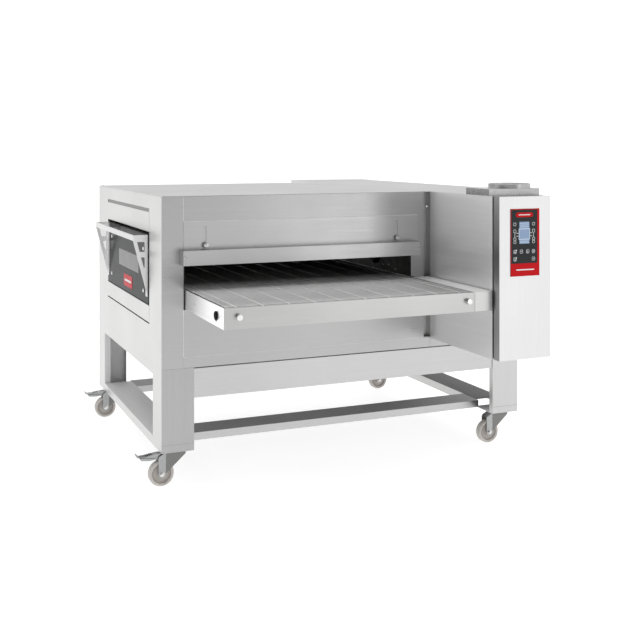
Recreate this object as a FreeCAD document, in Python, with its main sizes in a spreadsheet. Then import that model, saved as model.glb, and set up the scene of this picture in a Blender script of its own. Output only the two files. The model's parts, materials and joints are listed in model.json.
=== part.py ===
"""Conveyor pizza oven on a wheeled stand, as a parametric FreeCAD document.

Lengths are millimetres.  While the pieces are drawn, X runs along the front from the left side
panel, Y runs from the front panel to the back and Z runs up from the floor.  Every node is then
placed so that the origin is the middle of the whole oven's outline, on the floor.
"""
import FreeCAD, Part
import os
import re
import Sketcher
from FreeCAD import Placement, Rotation, Vector

doc = FreeCAD.newDocument("conveyor_oven")
sheet = doc.addObject("Spreadsheet::Sheet", "Size")

DRIVING = {
    # oven body
    "tunnel_width": 1057, "body_depth": 1115, "body_base": 418, "body_height": 600, "skin": 2,
    "column_width": 78, "front_width": 951, "base_strip": 38, "lid_lip": 20, "bay_width": 400,
    "bay_behind": 348, "pan_gap": 0.5,
    # baking tunnel and shutters
    "mouth_top": 779, "shutter_top": 929, "shutter_right": 1000, "shutter_travel": 60,
    "recess_deep": 32, "visor_left": 64, "visor_right": 988, "visor_high": 52, "visor_proud": 50,
    "stud_left": 155, "stud_right": 910, "stud_level": 845, "stud_radius": 3,
    # conveyor
    "belt_left": 83, "belt_right": 981, "rail_base": 624, "rail_top": 691, "conveyor_reach": 446,
    "rail_wall": 3, "belt_thick": 3, "roller_radius": 26, "roller_inset": 34, "axle_radius": 6,
    "running_gap": 0.05, "free_gap": 0.3, "drive_cover_right": 1050,
    "motor_sprocket_y": -180,
    # pull knobs and clamp knobs
    "knob_radius": 10, "knob_long": 15, "pull_inset": 47, "pull_level": 662,
    # control cabinet on the front right
    "cabinet_width": 210, "cabinet_reach": 437, "cabinet_base": 452, "door_front": 481,
    "door_back": 447, "cover_reach": 416, "cover_high": 24, "vent_radius": 75, "vent_high": 16,
    # keypad
    "pad_left": 1101, "pad_right": 1220, "pad_base": 742, "pad_top": 975, "pad_thick": 1.5,
    "keycap": 15, "key_travel": 0.5, "key_left": 1119, "key_right": 1195, "key_pitch": 26,
    "key_upper": 827, "key_lower": 801,
    # inspection door in the left side
    "hatch_front": 178, "hatch_back": 918, "hatch_base": 615, "hatch_top": 882, "hatch_gap": 7,
    "hatch_pin_x": 6, "hatch_pin_z": 627, "pane_front": 335, "pane_back": 693, "pane_base": 712,
    "pane_top": 780, "screw_front": 260, "screw_back": 827, "screw_low": 660, "screw_high": 815,
    "upper_slot": 954, "lower_slot": 549,
    # handle of the inspection door
    "handle_proud": 55, "handle_base": 645, "handle_top": 870, "handle_bar": 20, "handle_front": 195,
    "handle_back": 905, "bracket_rim": 13.5, "bracket_window": 36, "bracket_web": 20,
    # stand
    "leg_wide": 116.5, "leg_deep": 125, "leg_flange": 25, "plate": 3, "rail_under": 129,
    "rail_high": 32, "upper_rail": 37, "front_rail": 107, "rail_setback": 4, "rail_lip": 36,
    "rail_seam": 4, "bar_front": 105, "bar_deep": 120,
    # casters
    "wheel_radius": 45, "wheel_wide": 30, "wheel_trail": 45, "bolt_radius": 4, "king_radius": 6,
    "fork_top": 118, "fork_skin": 3, "fork_rear": 34, "fork_front": 40, "cheek_half": 13, "shoulder": 107, "race": 27,
    "pedal_reach": 77, "pedal_tip": 119, "pedal_wide": 26, "pedal_level": 102, "pedal_pin": 2.5,
    # air system inside
    "blower_level": 770, "blower_front": 330, "blower_back": 785, "impeller_radius": 105,
    "shaft_radius": 8, "motor_radius": 65, "fan_start": 996, "fan_wide": 36,
    "liner_base": 560, "liner_top": 925, "jet_inset": 60, "jet_gap": 40, "upper_jet": 800,
    "upper_jet_high": 70, "lower_jet": 566, "lower_jet_high": 46,
    "element_left": 1000, "element_pitch": 20, "element_base": 600, "element_rise": 40, "element_inset": 150,
    # drive, control board and cable gland
    "drive_sprocket": 22, "motor_sprocket": 15, "chain_half": 24, "chain_thick": 2,
    "board_front": 400, "board_back": 240, "board_base": 720, "board_top": 960,
    "gland_x": 1350, "gland_level": 500,
}

for row, (alias, value) in enumerate(DRIVING.items(), start=1):
    sheet.set(f"A{row}", alias)
    sheet.set(f"B{row}", str(value))
    sheet.setAlias(f"B{row}", alias)
doc.recompute()

# formulas that several pieces share
BODY_TOP = "(body_base + body_height)"
FULL_WIDTH = "(tunnel_width + bay_width)"
PANEL_RIGHT = "(column_width + front_width)"
BAY_BACK = "(body_depth + bay_behind)"
BELT_FRONT = "(-conveyor_reach)"
BELT_BACK = "(body_depth + conveyor_reach)"
ROLLER_LEVEL = "(rail_top - belt_thick - roller_radius)"
FRONT_ROLLER = "(roller_inset - conveyor_reach)"
BACK_ROLLER = "(body_depth + conveyor_reach - roller_inset)"
CABINET_RIGHT = "(tunnel_width + cabinet_width)"
CENTRE_X = f"(({FULL_WIDTH} - pedal_reach) / 2)"
CENTRE_Y = f"(({BELT_BACK} + knob_long - door_front - pad_thick - key_travel) / 2)"

nodes = []


def sized(formula):
    """A formula in cell names, as the reference that the document's expressions need."""
    return re.sub(r"[a-z][a-z_]+(?!\w*\()", lambda word: "Size." + word.group(), str(formula))


def set_base(thing, place):
    """Binds where a primitive stands."""
    for axis, formula in zip("xyz", place):
        thing.setExpression(f"Placement.Base.{axis}", sized(formula))


def block(low, high):
    """Box between two corners."""
    solid = doc.addObject("Part::Box", "Block")
    for size, start, end in zip(("Length", "Width", "Height"), low, high):
        solid.setExpression(size, sized(f"({end}) - ({start})"))
    set_base(solid, low)
    return solid


AXIS_TURN = {"x": Rotation(Vector(0, 1, 0), 90), "y": Rotation(Vector(1, 0, 0), -90), "z": Rotation()}


def rod(axis, start, radius, length):
    """Cylinder from a start point along +axis."""
    solid = doc.addObject("Part::Cylinder", "Rod")
    solid.Placement = Placement(Vector(), AXIS_TURN[axis])
    solid.setExpression("Radius", sized(radius))
    solid.setExpression("Height", sized(length))
    set_base(solid, start)
    return solid


def fuse(*solids):
    joined = doc.addObject("Part::MultiFuse", "Joined")
    joined.Shapes = list(solids)
    return joined


def cut(solid, *tools):
    """Solid with every tool taken away."""
    remainder = doc.addObject("Part::Cut", "Remainder")
    remainder.Base = solid
    remainder.Tool = tools[0] if len(tools) == 1 else fuse(*tools)
    return remainder


def hollow(low, high, inner_low, inner_high):
    return cut(block(low, high), block(inner_low, inner_high))


def node(label, *solids):
    """Names a sub-part made of one solid, or of separate solids, and places it in the oven's frame."""
    piece = solids[0]
    if len(solids) > 1 or piece.TypeId in ("Part::Box", "Part::Cylinder", "PartDesign::Body"):
        piece = doc.addObject("Part::Compound", "Group")
        piece.Links = list(solids)
    piece.Label = label
    set_base(piece, (f"-{CENTRE_X}", f"-{CENTRE_Y}", "0"))
    nodes.append(piece)


def sketch_on(body, role):
    """Sketch on one of a body's own origin planes."""
    sketch = body.newObject("Sketcher::SketchObject", body.Name + "_sketch")
    plane = next(item for item in body.Origin.OriginFeatures if item.Role == role)
    sketch.AttachmentSupport = [(plane, "")]
    sketch.MapMode = "FlatFace"
    return sketch


def outline(sketch, corners):
    """Closed outline of straight lines, each corner bound to the sheet."""
    first = len(sketch.Geometry)
    count = len(corners)
    turn = Rotation(Vector(0, 0, 1), 360 / count)
    spots = [Vector(10, 0, 0)]
    for _ in corners:
        spots.append(turn.multVec(spots[-1]))
    for index in range(count):
        sketch.addGeometry(Part.LineSegment(spots[index], spots[(index + 1) % count]))
    for index in range(count):
        after = first + (index + 1) % count
        sketch.addConstraint(Sketcher.Constraint("Coincident", first + index, 2, after, 1))
    for index, corner in enumerate(corners):
        for kind, spot, formula in zip(("DistanceX", "DistanceY"), spots[index], corner):
            rule = Sketcher.Constraint(kind, -1, 1, first + index, 1, spot)
            number = sketch.addConstraint(rule)
            sketch.setExpression(f"Constraints[{number}]", sized(formula))


def turned(name, profile, place, axis):
    """Body of revolution from (radius, height) corners, standing at place along +axis."""
    body = doc.addObject("PartDesign::Body", name)
    sketch = sketch_on(body, "XZ_Plane")
    outline(sketch, profile)
    spin = body.newObject("PartDesign::Revolution", name + "_turn")
    spin.Profile = sketch
    spin.ReferenceAxis = (sketch, ["V_Axis"])
    spin.Angle = 360
    body.Placement = Placement(Vector(), AXIS_TURN[axis])
    set_base(body, place)
    return body


def plate(name, role, corners, thick, place, windows=()):
    """Flat body cut from sheet on one of the origin planes, with windows through it."""
    body = doc.addObject("PartDesign::Body", name)
    sketch = sketch_on(body, role)
    outline(sketch, corners)
    for window in windows:
        outline(sketch, window)
    pad = body.newObject("PartDesign::Pad", name + "_pad")
    pad.Profile = sketch
    pad.setExpression("Length", sized(thick))
    set_base(body, place)
    return body


def between(corner, direction, near, far):
    """Low and high formula of a span measured inwards from an outer face."""
    if direction > 0:
        return f"({corner}) + ({near})", f"({corner}) + ({far})"
    return f"({corner}) - ({far})", f"({corner}) - ({near})"


CORNERS = {
    "front_left": ("0", 1, "0", 1), "rear_left": ("0", 1, "body_depth", -1),
    "front_right": (FULL_WIDTH, -1, "0", 1), "rear_right": (FULL_WIDTH, -1, "body_depth", -1),
}


# ---- stand ---------------------------------------------------------------------------------

def leg(x_outer, x_way, y_outer, y_way):
    """Folded leg: two outer walls, each with a narrow return flange, and a foot plate for the caster."""
    base, top = "rail_under", "body_base"
    walls = [
        (("0", "leg_wide"), ("0", "plate")),
        (("0", "plate"), ("0", "leg_deep")),
        (("leg_wide - plate", "leg_wide"), ("0", "leg_flange")),
        (("0", "leg_flange"), ("leg_deep - plate", "leg_deep")),
    ]
    sides = []
    for x_span, y_span in walls:
        x_low, x_high = between(x_outer, x_way, *x_span)
        y_low, y_high = between(y_outer, y_way, *y_span)
        sides.append(block((x_low, y_low, base), (x_high, y_high, top)))
    x_low, x_high = between(x_outer, x_way, "0", "leg_wide")
    y_low, y_high = between(y_outer, y_way, "0", "leg_deep")
    sides.append(block((x_low, y_low, base), (x_high, y_high, f"{base} + plate")))
    return fuse(*sides)


def build_stand():
    node("stand_legs", *[leg(*corner) for corner in CORNERS.values()])

    under, over = "rail_under", "rail_under + rail_high"
    rails = []
    for left in ("0", f"{FULL_WIDTH} - leg_wide"):
        rails.append(hollow((left, "leg_deep", under), (f"{left} + leg_wide", "body_depth - leg_deep", over),
                            (f"{left} + plate", "leg_deep - 1", f"{under} - 1"),
                            (f"{left} + leg_wide - plate", "body_depth - leg_deep + 1", f"{over} - plate")))

    left, right = "leg_wide", f"{FULL_WIDTH} - leg_wide"
    for y_outer, y_way in (("0", 1), ("body_depth", -1)):
        front, back = between(y_outer, y_way, "bar_front", "bar_front + bar_deep")
        rails.append(hollow((left, front, f"{under} + plate"), (right, back, f"{over} - 1"),
                           (f"{left} - 1", f"{front} + plate", under),
                           (f"{right} + 1", f"{back} - plate", f"{over} - 1 - plate")))
    node("lower_frame", *rails)

    top = "body_base"
    frame = []
    for y_outer, y_way in (("0", 1), ("body_depth", -1)):
        low = f"{top} - front_rail"
        face_near, face_far = between(y_outer, y_way, "rail_setback", "rail_setback + plate")
        lip_near, lip_far = between(y_outer, y_way, "rail_setback", "rail_setback + rail_lip")
        high = f"{top} - rail_seam"
        face = block((left, face_near, low), (right, face_far, high))
        lips = [block((left, lip_near, f"{high} - plate"), (right, lip_far, high)),
                block((left, lip_near, low), (right, lip_far, f"{low} + plate"))]
        frame.append(fuse(face, *lips))
    for x_outer, x_way in (("0", 1), (FULL_WIDTH, -1)):
        wall = between(x_outer, x_way, "0", "plate")
        lip = between(x_outer, x_way, "0", "leg_wide")
        ends = ("leg_deep", "body_depth - leg_deep")
        frame.append(fuse(block((wall[0], ends[0], f"{top} - upper_rail"), (wall[1], ends[1], top)),
                          block((lip[0], ends[0], f"{top} - plate"), (lip[1], ends[1], top))))
    node("upper_frame", *frame)


def caster_spot(corner):
    """Swivel axis of a caster, under the middle of its leg."""
    x_outer, x_way, y_outer, y_way = CORNERS[corner]
    x_sign = "+" if x_way > 0 else "-"
    y_sign = "+" if y_way > 0 else "-"
    return f"({x_outer} {x_sign} leg_wide / 2)", f"({y_outer} {y_sign} leg_deep / 2)"


FORK_HALF = "(wheel_wide / 2 + 2)"


def caster_fork(name, x, y, braked):
    """Pressed fork with its swivel race on top, the wheel bolt and, when braked, the pedal's pin."""
    hub = f"({x} - wheel_trail)"
    cheeks = []
    for side in (-1, 1):
        cheek = [(f"{hub} + cheek_half", "fork_top"), (f"{x} - fork_rear", "fork_top"),
                 (f"{hub} - 10", "shoulder"), (f"{hub} - cheek_half", "shoulder - 6"),
                 (f"{hub} - cheek_half", "wheel_radius - 5"), (f"{hub} - 8", "wheel_radius - 12"),
                 (hub, "wheel_radius - 14"), (f"{hub} + 8", "wheel_radius - 12"),
                 (f"{hub} + cheek_half", "wheel_radius - 5")]
        gusset = [(f"{x} + fork_front", "fork_top"), (f"{hub} + 8", "fork_top"), (f"{hub} + 8", "wheel_radius"),
                  (f"{hub} + cheek_half + 4", "wheel_radius + 4"), (f"{x} + fork_front", "shoulder + 2")]
        for outer, thick in ((cheek, "fork_skin"), (gusset, "(fork_skin - 1)")):
            far = between(y, side, FORK_HALF, f"{FORK_HALF} + {thick}")[1]
            cheeks.append(plate(f"{name}_cheek", "XZ_Plane", outer, thick, ("0", far, "0")))
    web = block((f"{x} - fork_rear", f"{y} - {FORK_HALF}", "fork_top - fork_skin"),
                (f"{x} + fork_front", f"{y} + {FORK_HALF}", "fork_top"))
    race_ring = rod("z", (x, y, "fork_top"), "race", "6")
    bolts = [rod("y", (hub, f"{y} - {FORK_HALF} - 6", "wheel_radius"), "bolt_radius",
                 f"2 * {FORK_HALF} + 12")]
    if braked:
        bolts.append(rod("y", (f"{hub} - 4", f"{y} - {FORK_HALF} - 1", "pedal_level"), "pedal_pin",
                         f"2 * {FORK_HALF} + 2"))
    king_hole = rod("z", (x, y, "fork_top - 18"), "king_radius + running_gap", "30")
    return cut(fuse(*cheeks, web, race_ring, *bolts), king_hole)


def caster_wheel(name, x, y):
    """Wheel turned about its bolt: rounded tread, dished web and hub."""
    half = "wheel_wide / 2"
    profile = [("bolt_radius + running_gap", "1"), ("13", "1"), ("14", "7"), ("33", "7"), ("35", "1"),
               ("wheel_radius - 3", "0"), ("wheel_radius", "4"), ("wheel_radius", "wheel_wide - 4"),
               ("wheel_radius - 3", "wheel_wide"), ("35", "wheel_wide - 1"), ("33", "wheel_wide - 7"),
               ("14", "wheel_wide - 7"), ("13", "wheel_wide - 1"),
               ("bolt_radius + running_gap", "wheel_wide - 1")]
    return turned(name, profile, (f"{x} - wheel_trail", f"{y} - {half}", "wheel_radius"), "y")


def brake_pedal(x, y):
    """Foot pedal: a strip that runs out past the wheel and turns up at its tip."""
    low, high = f"{y} - pedal_wide / 2", f"{y} + pedal_wide / 2"
    start = f"({x} - wheel_trail - 4)"
    corners = [(f"{start} + 4", "pedal_level - 1"), (f"{start} - 26", "pedal_level - 1"),
               ("-pedal_reach + 16", "pedal_level + 4"), ("-pedal_reach + 3", "pedal_tip - 9"),
               ("-pedal_reach", "pedal_tip"), ("-pedal_reach + 3", "pedal_tip"),
               ("-pedal_reach + 7", "pedal_tip - 7"), ("-pedal_reach + 18", "pedal_level + 7"),
               (f"{start} - 26", "pedal_level + 2"), (f"{start} + 4", "pedal_level + 2")]
    strip = plate("pedal_strip", "XZ_Plane", corners, "pedal_wide", ("0", high, "0"))
    barrel = rod("y", (start, low, "pedal_level"), "5", "pedal_wide")
    pin_hole = rod("y", (start, f"{low} - 1", "pedal_level"), "pedal_pin + running_gap", "pedal_wide + 2")
    return cut(fuse(strip, barrel), pin_hole)


def build_casters():
    plates = []
    for corner in CORNERS:
        x, y = caster_spot(corner)
        top = block((f"{x} - 50", f"{y} - 42", "rail_under - 4"), (f"{x} + 50", f"{y} + 42", "rail_under"))
        king = rod("z", (x, y, "fork_top - 12"), "king_radius", "rail_under + 11 - fork_top")
        plates.append(fuse(top, king))
        braked = corner.endswith("_left")
        node(f"caster_fork_{corner}", caster_fork(f"fork_{corner}", x, y, braked))
        node(f"caster_wheel_{corner}", caster_wheel(f"wheel_{corner}", x, y))
        if braked:
            node(f"brake_pedal_{corner}", brake_pedal(x, y))
    node("caster_plates", *plates)


# ---- oven body -----------------------------------------------------------------------------

def build_casing():
    """Folded outer panels of the oven body."""
    top = f"{BODY_TOP}"
    strip = "body_base + base_strip"
    node("base_pan", hollow(("column_width", "0", "body_base"), ("tunnel_width - pan_gap", "body_depth", strip),
                            ("column_width + skin", "skin", "body_base + skin"),
                            ("tunnel_width - pan_gap - skin", "body_depth - skin", f"{strip} + 1")))
    lid = block(("0", "0", f"{top} - skin"), ("tunnel_width - 2", "body_depth", top))
    lip = hollow(("skin + 1", "skin + 1", f"{top} - lid_lip"),
                 (f"{PANEL_RIGHT} - skin - 1", "body_depth - skin - 1", f"{top} - skin"),
                 ("2 * skin + 1", "2 * skin + 1", f"{top} - lid_lip - 1"),
                 (f"{PANEL_RIGHT} - 2 * skin - 1", "body_depth - 2 * skin - 1", f"{top} - skin + 1"))
    node("top_cover", fuse(lid, lip))

    # left side: a folded column at each end, with the hatch and its jamb between them
    low, high = strip, f"{top} - skin"
    wall = block(("0", "0", "body_base"), ("column_width", "body_depth", high))
    inside = block(("skin", "skin", "body_base - 1"), ("column_width + 1", "body_depth - skin", f"{high} + 1"))
    doorway = block(("-1", "hatch_front", "hatch_base"), ("skin + 1", "hatch_back", "hatch_top"))
    slots = [block(("-1", "hatch_front", level), ("skin + 1", "hatch_back", f"{level} + {tall}"))
             for level, tall in (("upper_slot", 13), ("lower_slot", 5))]
    jamb = hollow(("0", "hatch_front - skin", "hatch_base - skin"),
                  ("column_width", "hatch_back + skin", "hatch_top + skin"),
                  ("-1", "hatch_front", "hatch_base"), ("column_width + 1", "hatch_back", "hatch_top"))
    pin_holes = rod("y", ("hatch_pin_x", "hatch_front - 10", "hatch_pin_z"), "4 + running_gap",
                    "hatch_back - hatch_front + 20")
    node("left_side_panel", cut(fuse(cut(wall, inside, doorway, *slots), jamb), pin_holes))

    # front and rear panels: open at the tunnel mouth, folded back beside it, with the shutter's studs
    for name, face, way in (("front_panel", "0", 1), ("rear_panel", "body_depth", -1)):
        near, far = between(face, way, "0", "skin")
        sheet_metal = block(("column_width", near, low), (PANEL_RIGHT, far, high))
        before, behind = between(face, way, "-1", "skin + 1")
        belt_way = block(("column_width - 1", before, "rail_base - 3"),
                         ("belt_right + 3", behind, "rail_top + 3"))
        mouth = block(("column_width - 1", before, "rail_top"), ("belt_right - 7", behind, "stud_level - 8"))
        fold = between(face, way, "0", "recess_deep")
        ledge = between(face, way, "recess_deep - skin", "recess_deep")
        start, end = f"{PANEL_RIGHT} - skin", "tunnel_width - pan_gap"
        recess = [block((start, fold[0], low), (PANEL_RIGHT, fold[1], high)),
                  block((start, ledge[0], low), (end, ledge[1], high)),
                  block((start, fold[0], low), (end, fold[1], f"{low} + skin"))]
        stud_low, stud_high = between(face, way, "-17", "skin")
        studs = [rod("y", (x, stud_low, "stud_level"), "stud_radius", f"{stud_high} - ({stud_low})")
                 for x in ("stud_left", "stud_right")]
        node(name, fuse(cut(sheet_metal, belt_way, mouth), *recess, *studs))


def build_shutters():
    """Sliding shutters over the two tunnel mouths, each held by two clamp knobs on fixed studs."""
    for name, way, face in (("front", -1, "0"), ("rear", 1, "body_depth")):
        near, far = between(face, way, "1", "3")
        leaf = block(("column_width", near, "mouth_top"), ("shutter_right", far, "shutter_top"))
        out_near, out_far = between(face, way, "1", "visor_proud")
        hood = block(("visor_left", out_near, "mouth_top"),
                     ("visor_right", out_far, "mouth_top + visor_high"))
        in_near, in_far = between(face, way, "0", "visor_proud - 2")
        hood_space = block(("visor_left + 2", in_near, "mouth_top - 1"),
                           ("visor_right - 2", in_far, "mouth_top + visor_high - 2"))
        slots = []
        for x in ("stud_left", "stud_right"):
            hole_near, hole_far = between(face, way, "0", "6")
            slots.append(block((f"{x} - 4", hole_near, "stud_level - 5"),
                               (f"{x} + 4", hole_far, "stud_level + shutter_travel + 5")))
        node(f"{name}_shutter", cut(fuse(cut(hood, hood_space), leaf), *slots))

        for side, x in (("left", "stud_left"), ("right", "stud_right")):
            profile = [("stud_radius + running_gap", "0"), ("knob_radius - 2", "0"), ("knob_radius", "3"),
                       ("knob_radius", "knob_long - 2"), ("knob_radius - 2", "knob_long - 0.5"),
                       ("stud_radius + running_gap", "knob_long - 0.5")]
            base = f"{face} + 3.3" if way > 0 else f"{face} - 3.3 - knob_long + 0.5"
            node(f"{name}_knob_{side}", turned(f"{name}_knob_{side}_turned", profile,
                                               (x, base, "stud_level"), "y"))


def build_hatch():
    """Inspection door in the left side, hinged along its lower edge."""
    front, back = "(hatch_front + hatch_gap)", "(hatch_back - hatch_gap)"
    low, high = "(hatch_base + 5)", "(hatch_top - 12)"
    pan = hollow(("1.5", front, low), ("24", back, high),
                 ("3.5", f"{front} + skin", f"{low} + 14"), ("25", f"{back} - skin", f"{high} - skin"))
    pins = [rod("y", ("hatch_pin_x", start, "hatch_pin_z"), "4", "hatch_gap + 1.5")
            for start in ("hatch_front - 1.5", f"{back}")]
    pane = block(("0", "pane_front", "pane_base"), ("30", "pane_back", "pane_top"))
    node("inspection_door", fuse(cut(pan, pane), *pins))
    node("door_glass", block(("-1.5", front, low), ("1.5", back, high)))

    # handle: a bar across two tapered brackets that are lightened by two windows each
    bar_base = "(handle_top - handle_bar)"
    corners = [("-1.5", "handle_base"), ("-1.5", "handle_top"), ("-handle_proud", "handle_top"),
               ("-handle_proud", bar_base)]

    def rim(level):
        """X inside the bracket's sloping edge at a level."""
        slope = f"(handle_proud - 1.5) / ({bar_base} - handle_base)"
        return f"bracket_rim - 1.5 - ({level} - handle_base) * {slope}"

    windows = []
    for index in range(2):
        high = f"(handle_top - 25 - {index} * (bracket_window + bracket_web))"
        low = f"({high} - bracket_window)"
        windows.append([("-12", low), ("-12", high), (rim(high), high), (rim(low), low)])
    brackets = []
    for rear_edge in ("handle_front + 3", "handle_back"):
        brackets.append(plate("handle_bracket", "XZ_Plane", corners, "3", ("0", rear_edge, "0"), windows))
    bar = block(("-handle_proud", "handle_front", bar_base), ("-handle_proud + 4", "handle_back", "handle_top"))
    feet = [block(("-4", start, "handle_base"), ("-1.5", end, "handle_top"))
            for start, end in (("handle_front", "handle_front + 23"), ("handle_back - 23", "handle_back"))]
    node("door_handle", fuse(*brackets, bar, *feet))

    screws = [rod("x", ("-4.5", y, z), "7", "3")
              for y in ("screw_front", "screw_back") for z in ("screw_low", "screw_high")]
    node("door_screws", *screws)


# ---- inside of the oven --------------------------------------------------------------------

LINER_RIGHT = "(belt_right + 6)"


def build_chamber():
    """Baking chamber, insulation and the air ducts above and below the belt."""
    left = "column_width + 1"
    tube = hollow((left, "skin + 1", "liner_base"), (LINER_RIGHT, "body_depth - skin - 1", "liner_top"),
                  (f"{left} + skin", "-1", "liner_base + skin"),
                  (f"{LINER_RIGHT} - skin", "body_depth + 1", "liner_top - skin"))
    sight = block((f"{left} - 1", "hatch_front + 20", "rail_top + 5"),
                  (f"{left} + skin + 1", "hatch_back - 20", "hatch_top - 8"))
    inlets = [rod("x", (f"{LINER_RIGHT} - 5", y, "blower_level"), "60", "10")
              for y in ("blower_front", "blower_back")]
    node("chamber_liner", cut(tube, sight, *inlets))

    front, back = "recess_deep + 1", "body_depth - recess_deep - 1"
    node("insulation",
         block((left, front, "liner_top + 1"), ("tunnel_width - 5", back, f"{BODY_TOP} - 24")),
         block((left, front, "body_base + base_strip + 4"), ("tunnel_width - 5", back, "liner_base - 1")))

    fingers = []
    count = 4
    for index in range(count):
        start = f"(jet_inset + {index} * (body_depth - 2 * jet_inset) / {count})"
        ends = (f"{start} + jet_gap", f"{start} + (body_depth - 2 * jet_inset) / {count} - jet_gap")
        for low, tall in (("upper_jet", "upper_jet_high"), ("lower_jet", "lower_jet_high")):
            fingers.append(hollow((f"{left} + 20", ends[0], low),
                                  (f"{LINER_RIGHT} - skin - 0.5", ends[1], f"{low} + {tall}"),
                                  (f"{left} + 22", f"{ends[0]} + skin", f"{low} + skin"),
                                  (f"{LINER_RIGHT} + 5", f"{ends[1]} - skin", f"{low} + {tall} - skin")))
    node("jet_fingers", *fingers)

    # hairpin elements stand in the plenum between the liner and the right wall
    hairpins = []
    for index in range(3):
        x = f"element_left + {index} * element_pitch"
        legs = [rod("y", (x, "element_inset", level), "4", "body_depth - 2 * element_inset")
                for level in ("element_base", "element_base + element_rise")]
        bend = rod("z", (x, "body_depth - element_inset", "element_base - 6"), "5.5", "element_rise + 12")
        hairpins.append(fuse(*legs, bend))
    node("heating_elements", *hairpins)


def impeller(name, y):
    """Radial fan: hub and back plate turned, blades padded and repeated round the shaft."""
    profile = [("shaft_radius + running_gap", "0"), ("22", "0"), ("22", "fan_wide - 2"),
               ("impeller_radius", "fan_wide - 2"), ("impeller_radius", "fan_wide"),
               ("shaft_radius + running_gap", "fan_wide")]
    body = turned(name, profile, ("fan_start", y, "blower_level"), "x")
    blade_sketch = sketch_on(body, "XY_Plane")
    outline(blade_sketch, [("60", "-1"), ("impeller_radius - 3", "-1"),
                           ("impeller_radius - 3", "1"), ("60", "1")])
    blade = body.newObject("PartDesign::Pad", name + "_blade")
    blade.Profile = blade_sketch
    blade.setExpression("Length", sized("fan_wide - 1"))
    pattern = body.newObject("PartDesign::PolarPattern", name + "_blades")
    pattern.Originals = [blade]
    pattern.Axis = (next(item for item in body.Origin.OriginFeatures if item.Role == "Z_Axis"), [""])
    pattern.Angle = 360
    pattern.Occurrences = 12
    body.Tip = pattern
    return body


def build_blowers():
    motors = []
    for index, y in enumerate(("blower_front", "blower_back")):
        can = rod("x", ("tunnel_width + 8", y, "blower_level"), "motor_radius", "180")
        shaft = rod("x", ("fan_start - 2", y, "blower_level"), "shaft_radius", "tunnel_width + 12 - fan_start")
        flange = block(("tunnel_width + 2", f"{y} - 80", "blower_level - 80"),
                       ("tunnel_width + 8", f"{y} + 80", "blower_level + 80"))
        motors.append(fuse(can, shaft, flange))
        node(f"blower_impeller_{('front', 'rear')[index]}", impeller(f"impeller_{index}", y))
    node("blower_motors", *motors)


# ---- conveyor ------------------------------------------------------------------------------

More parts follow.
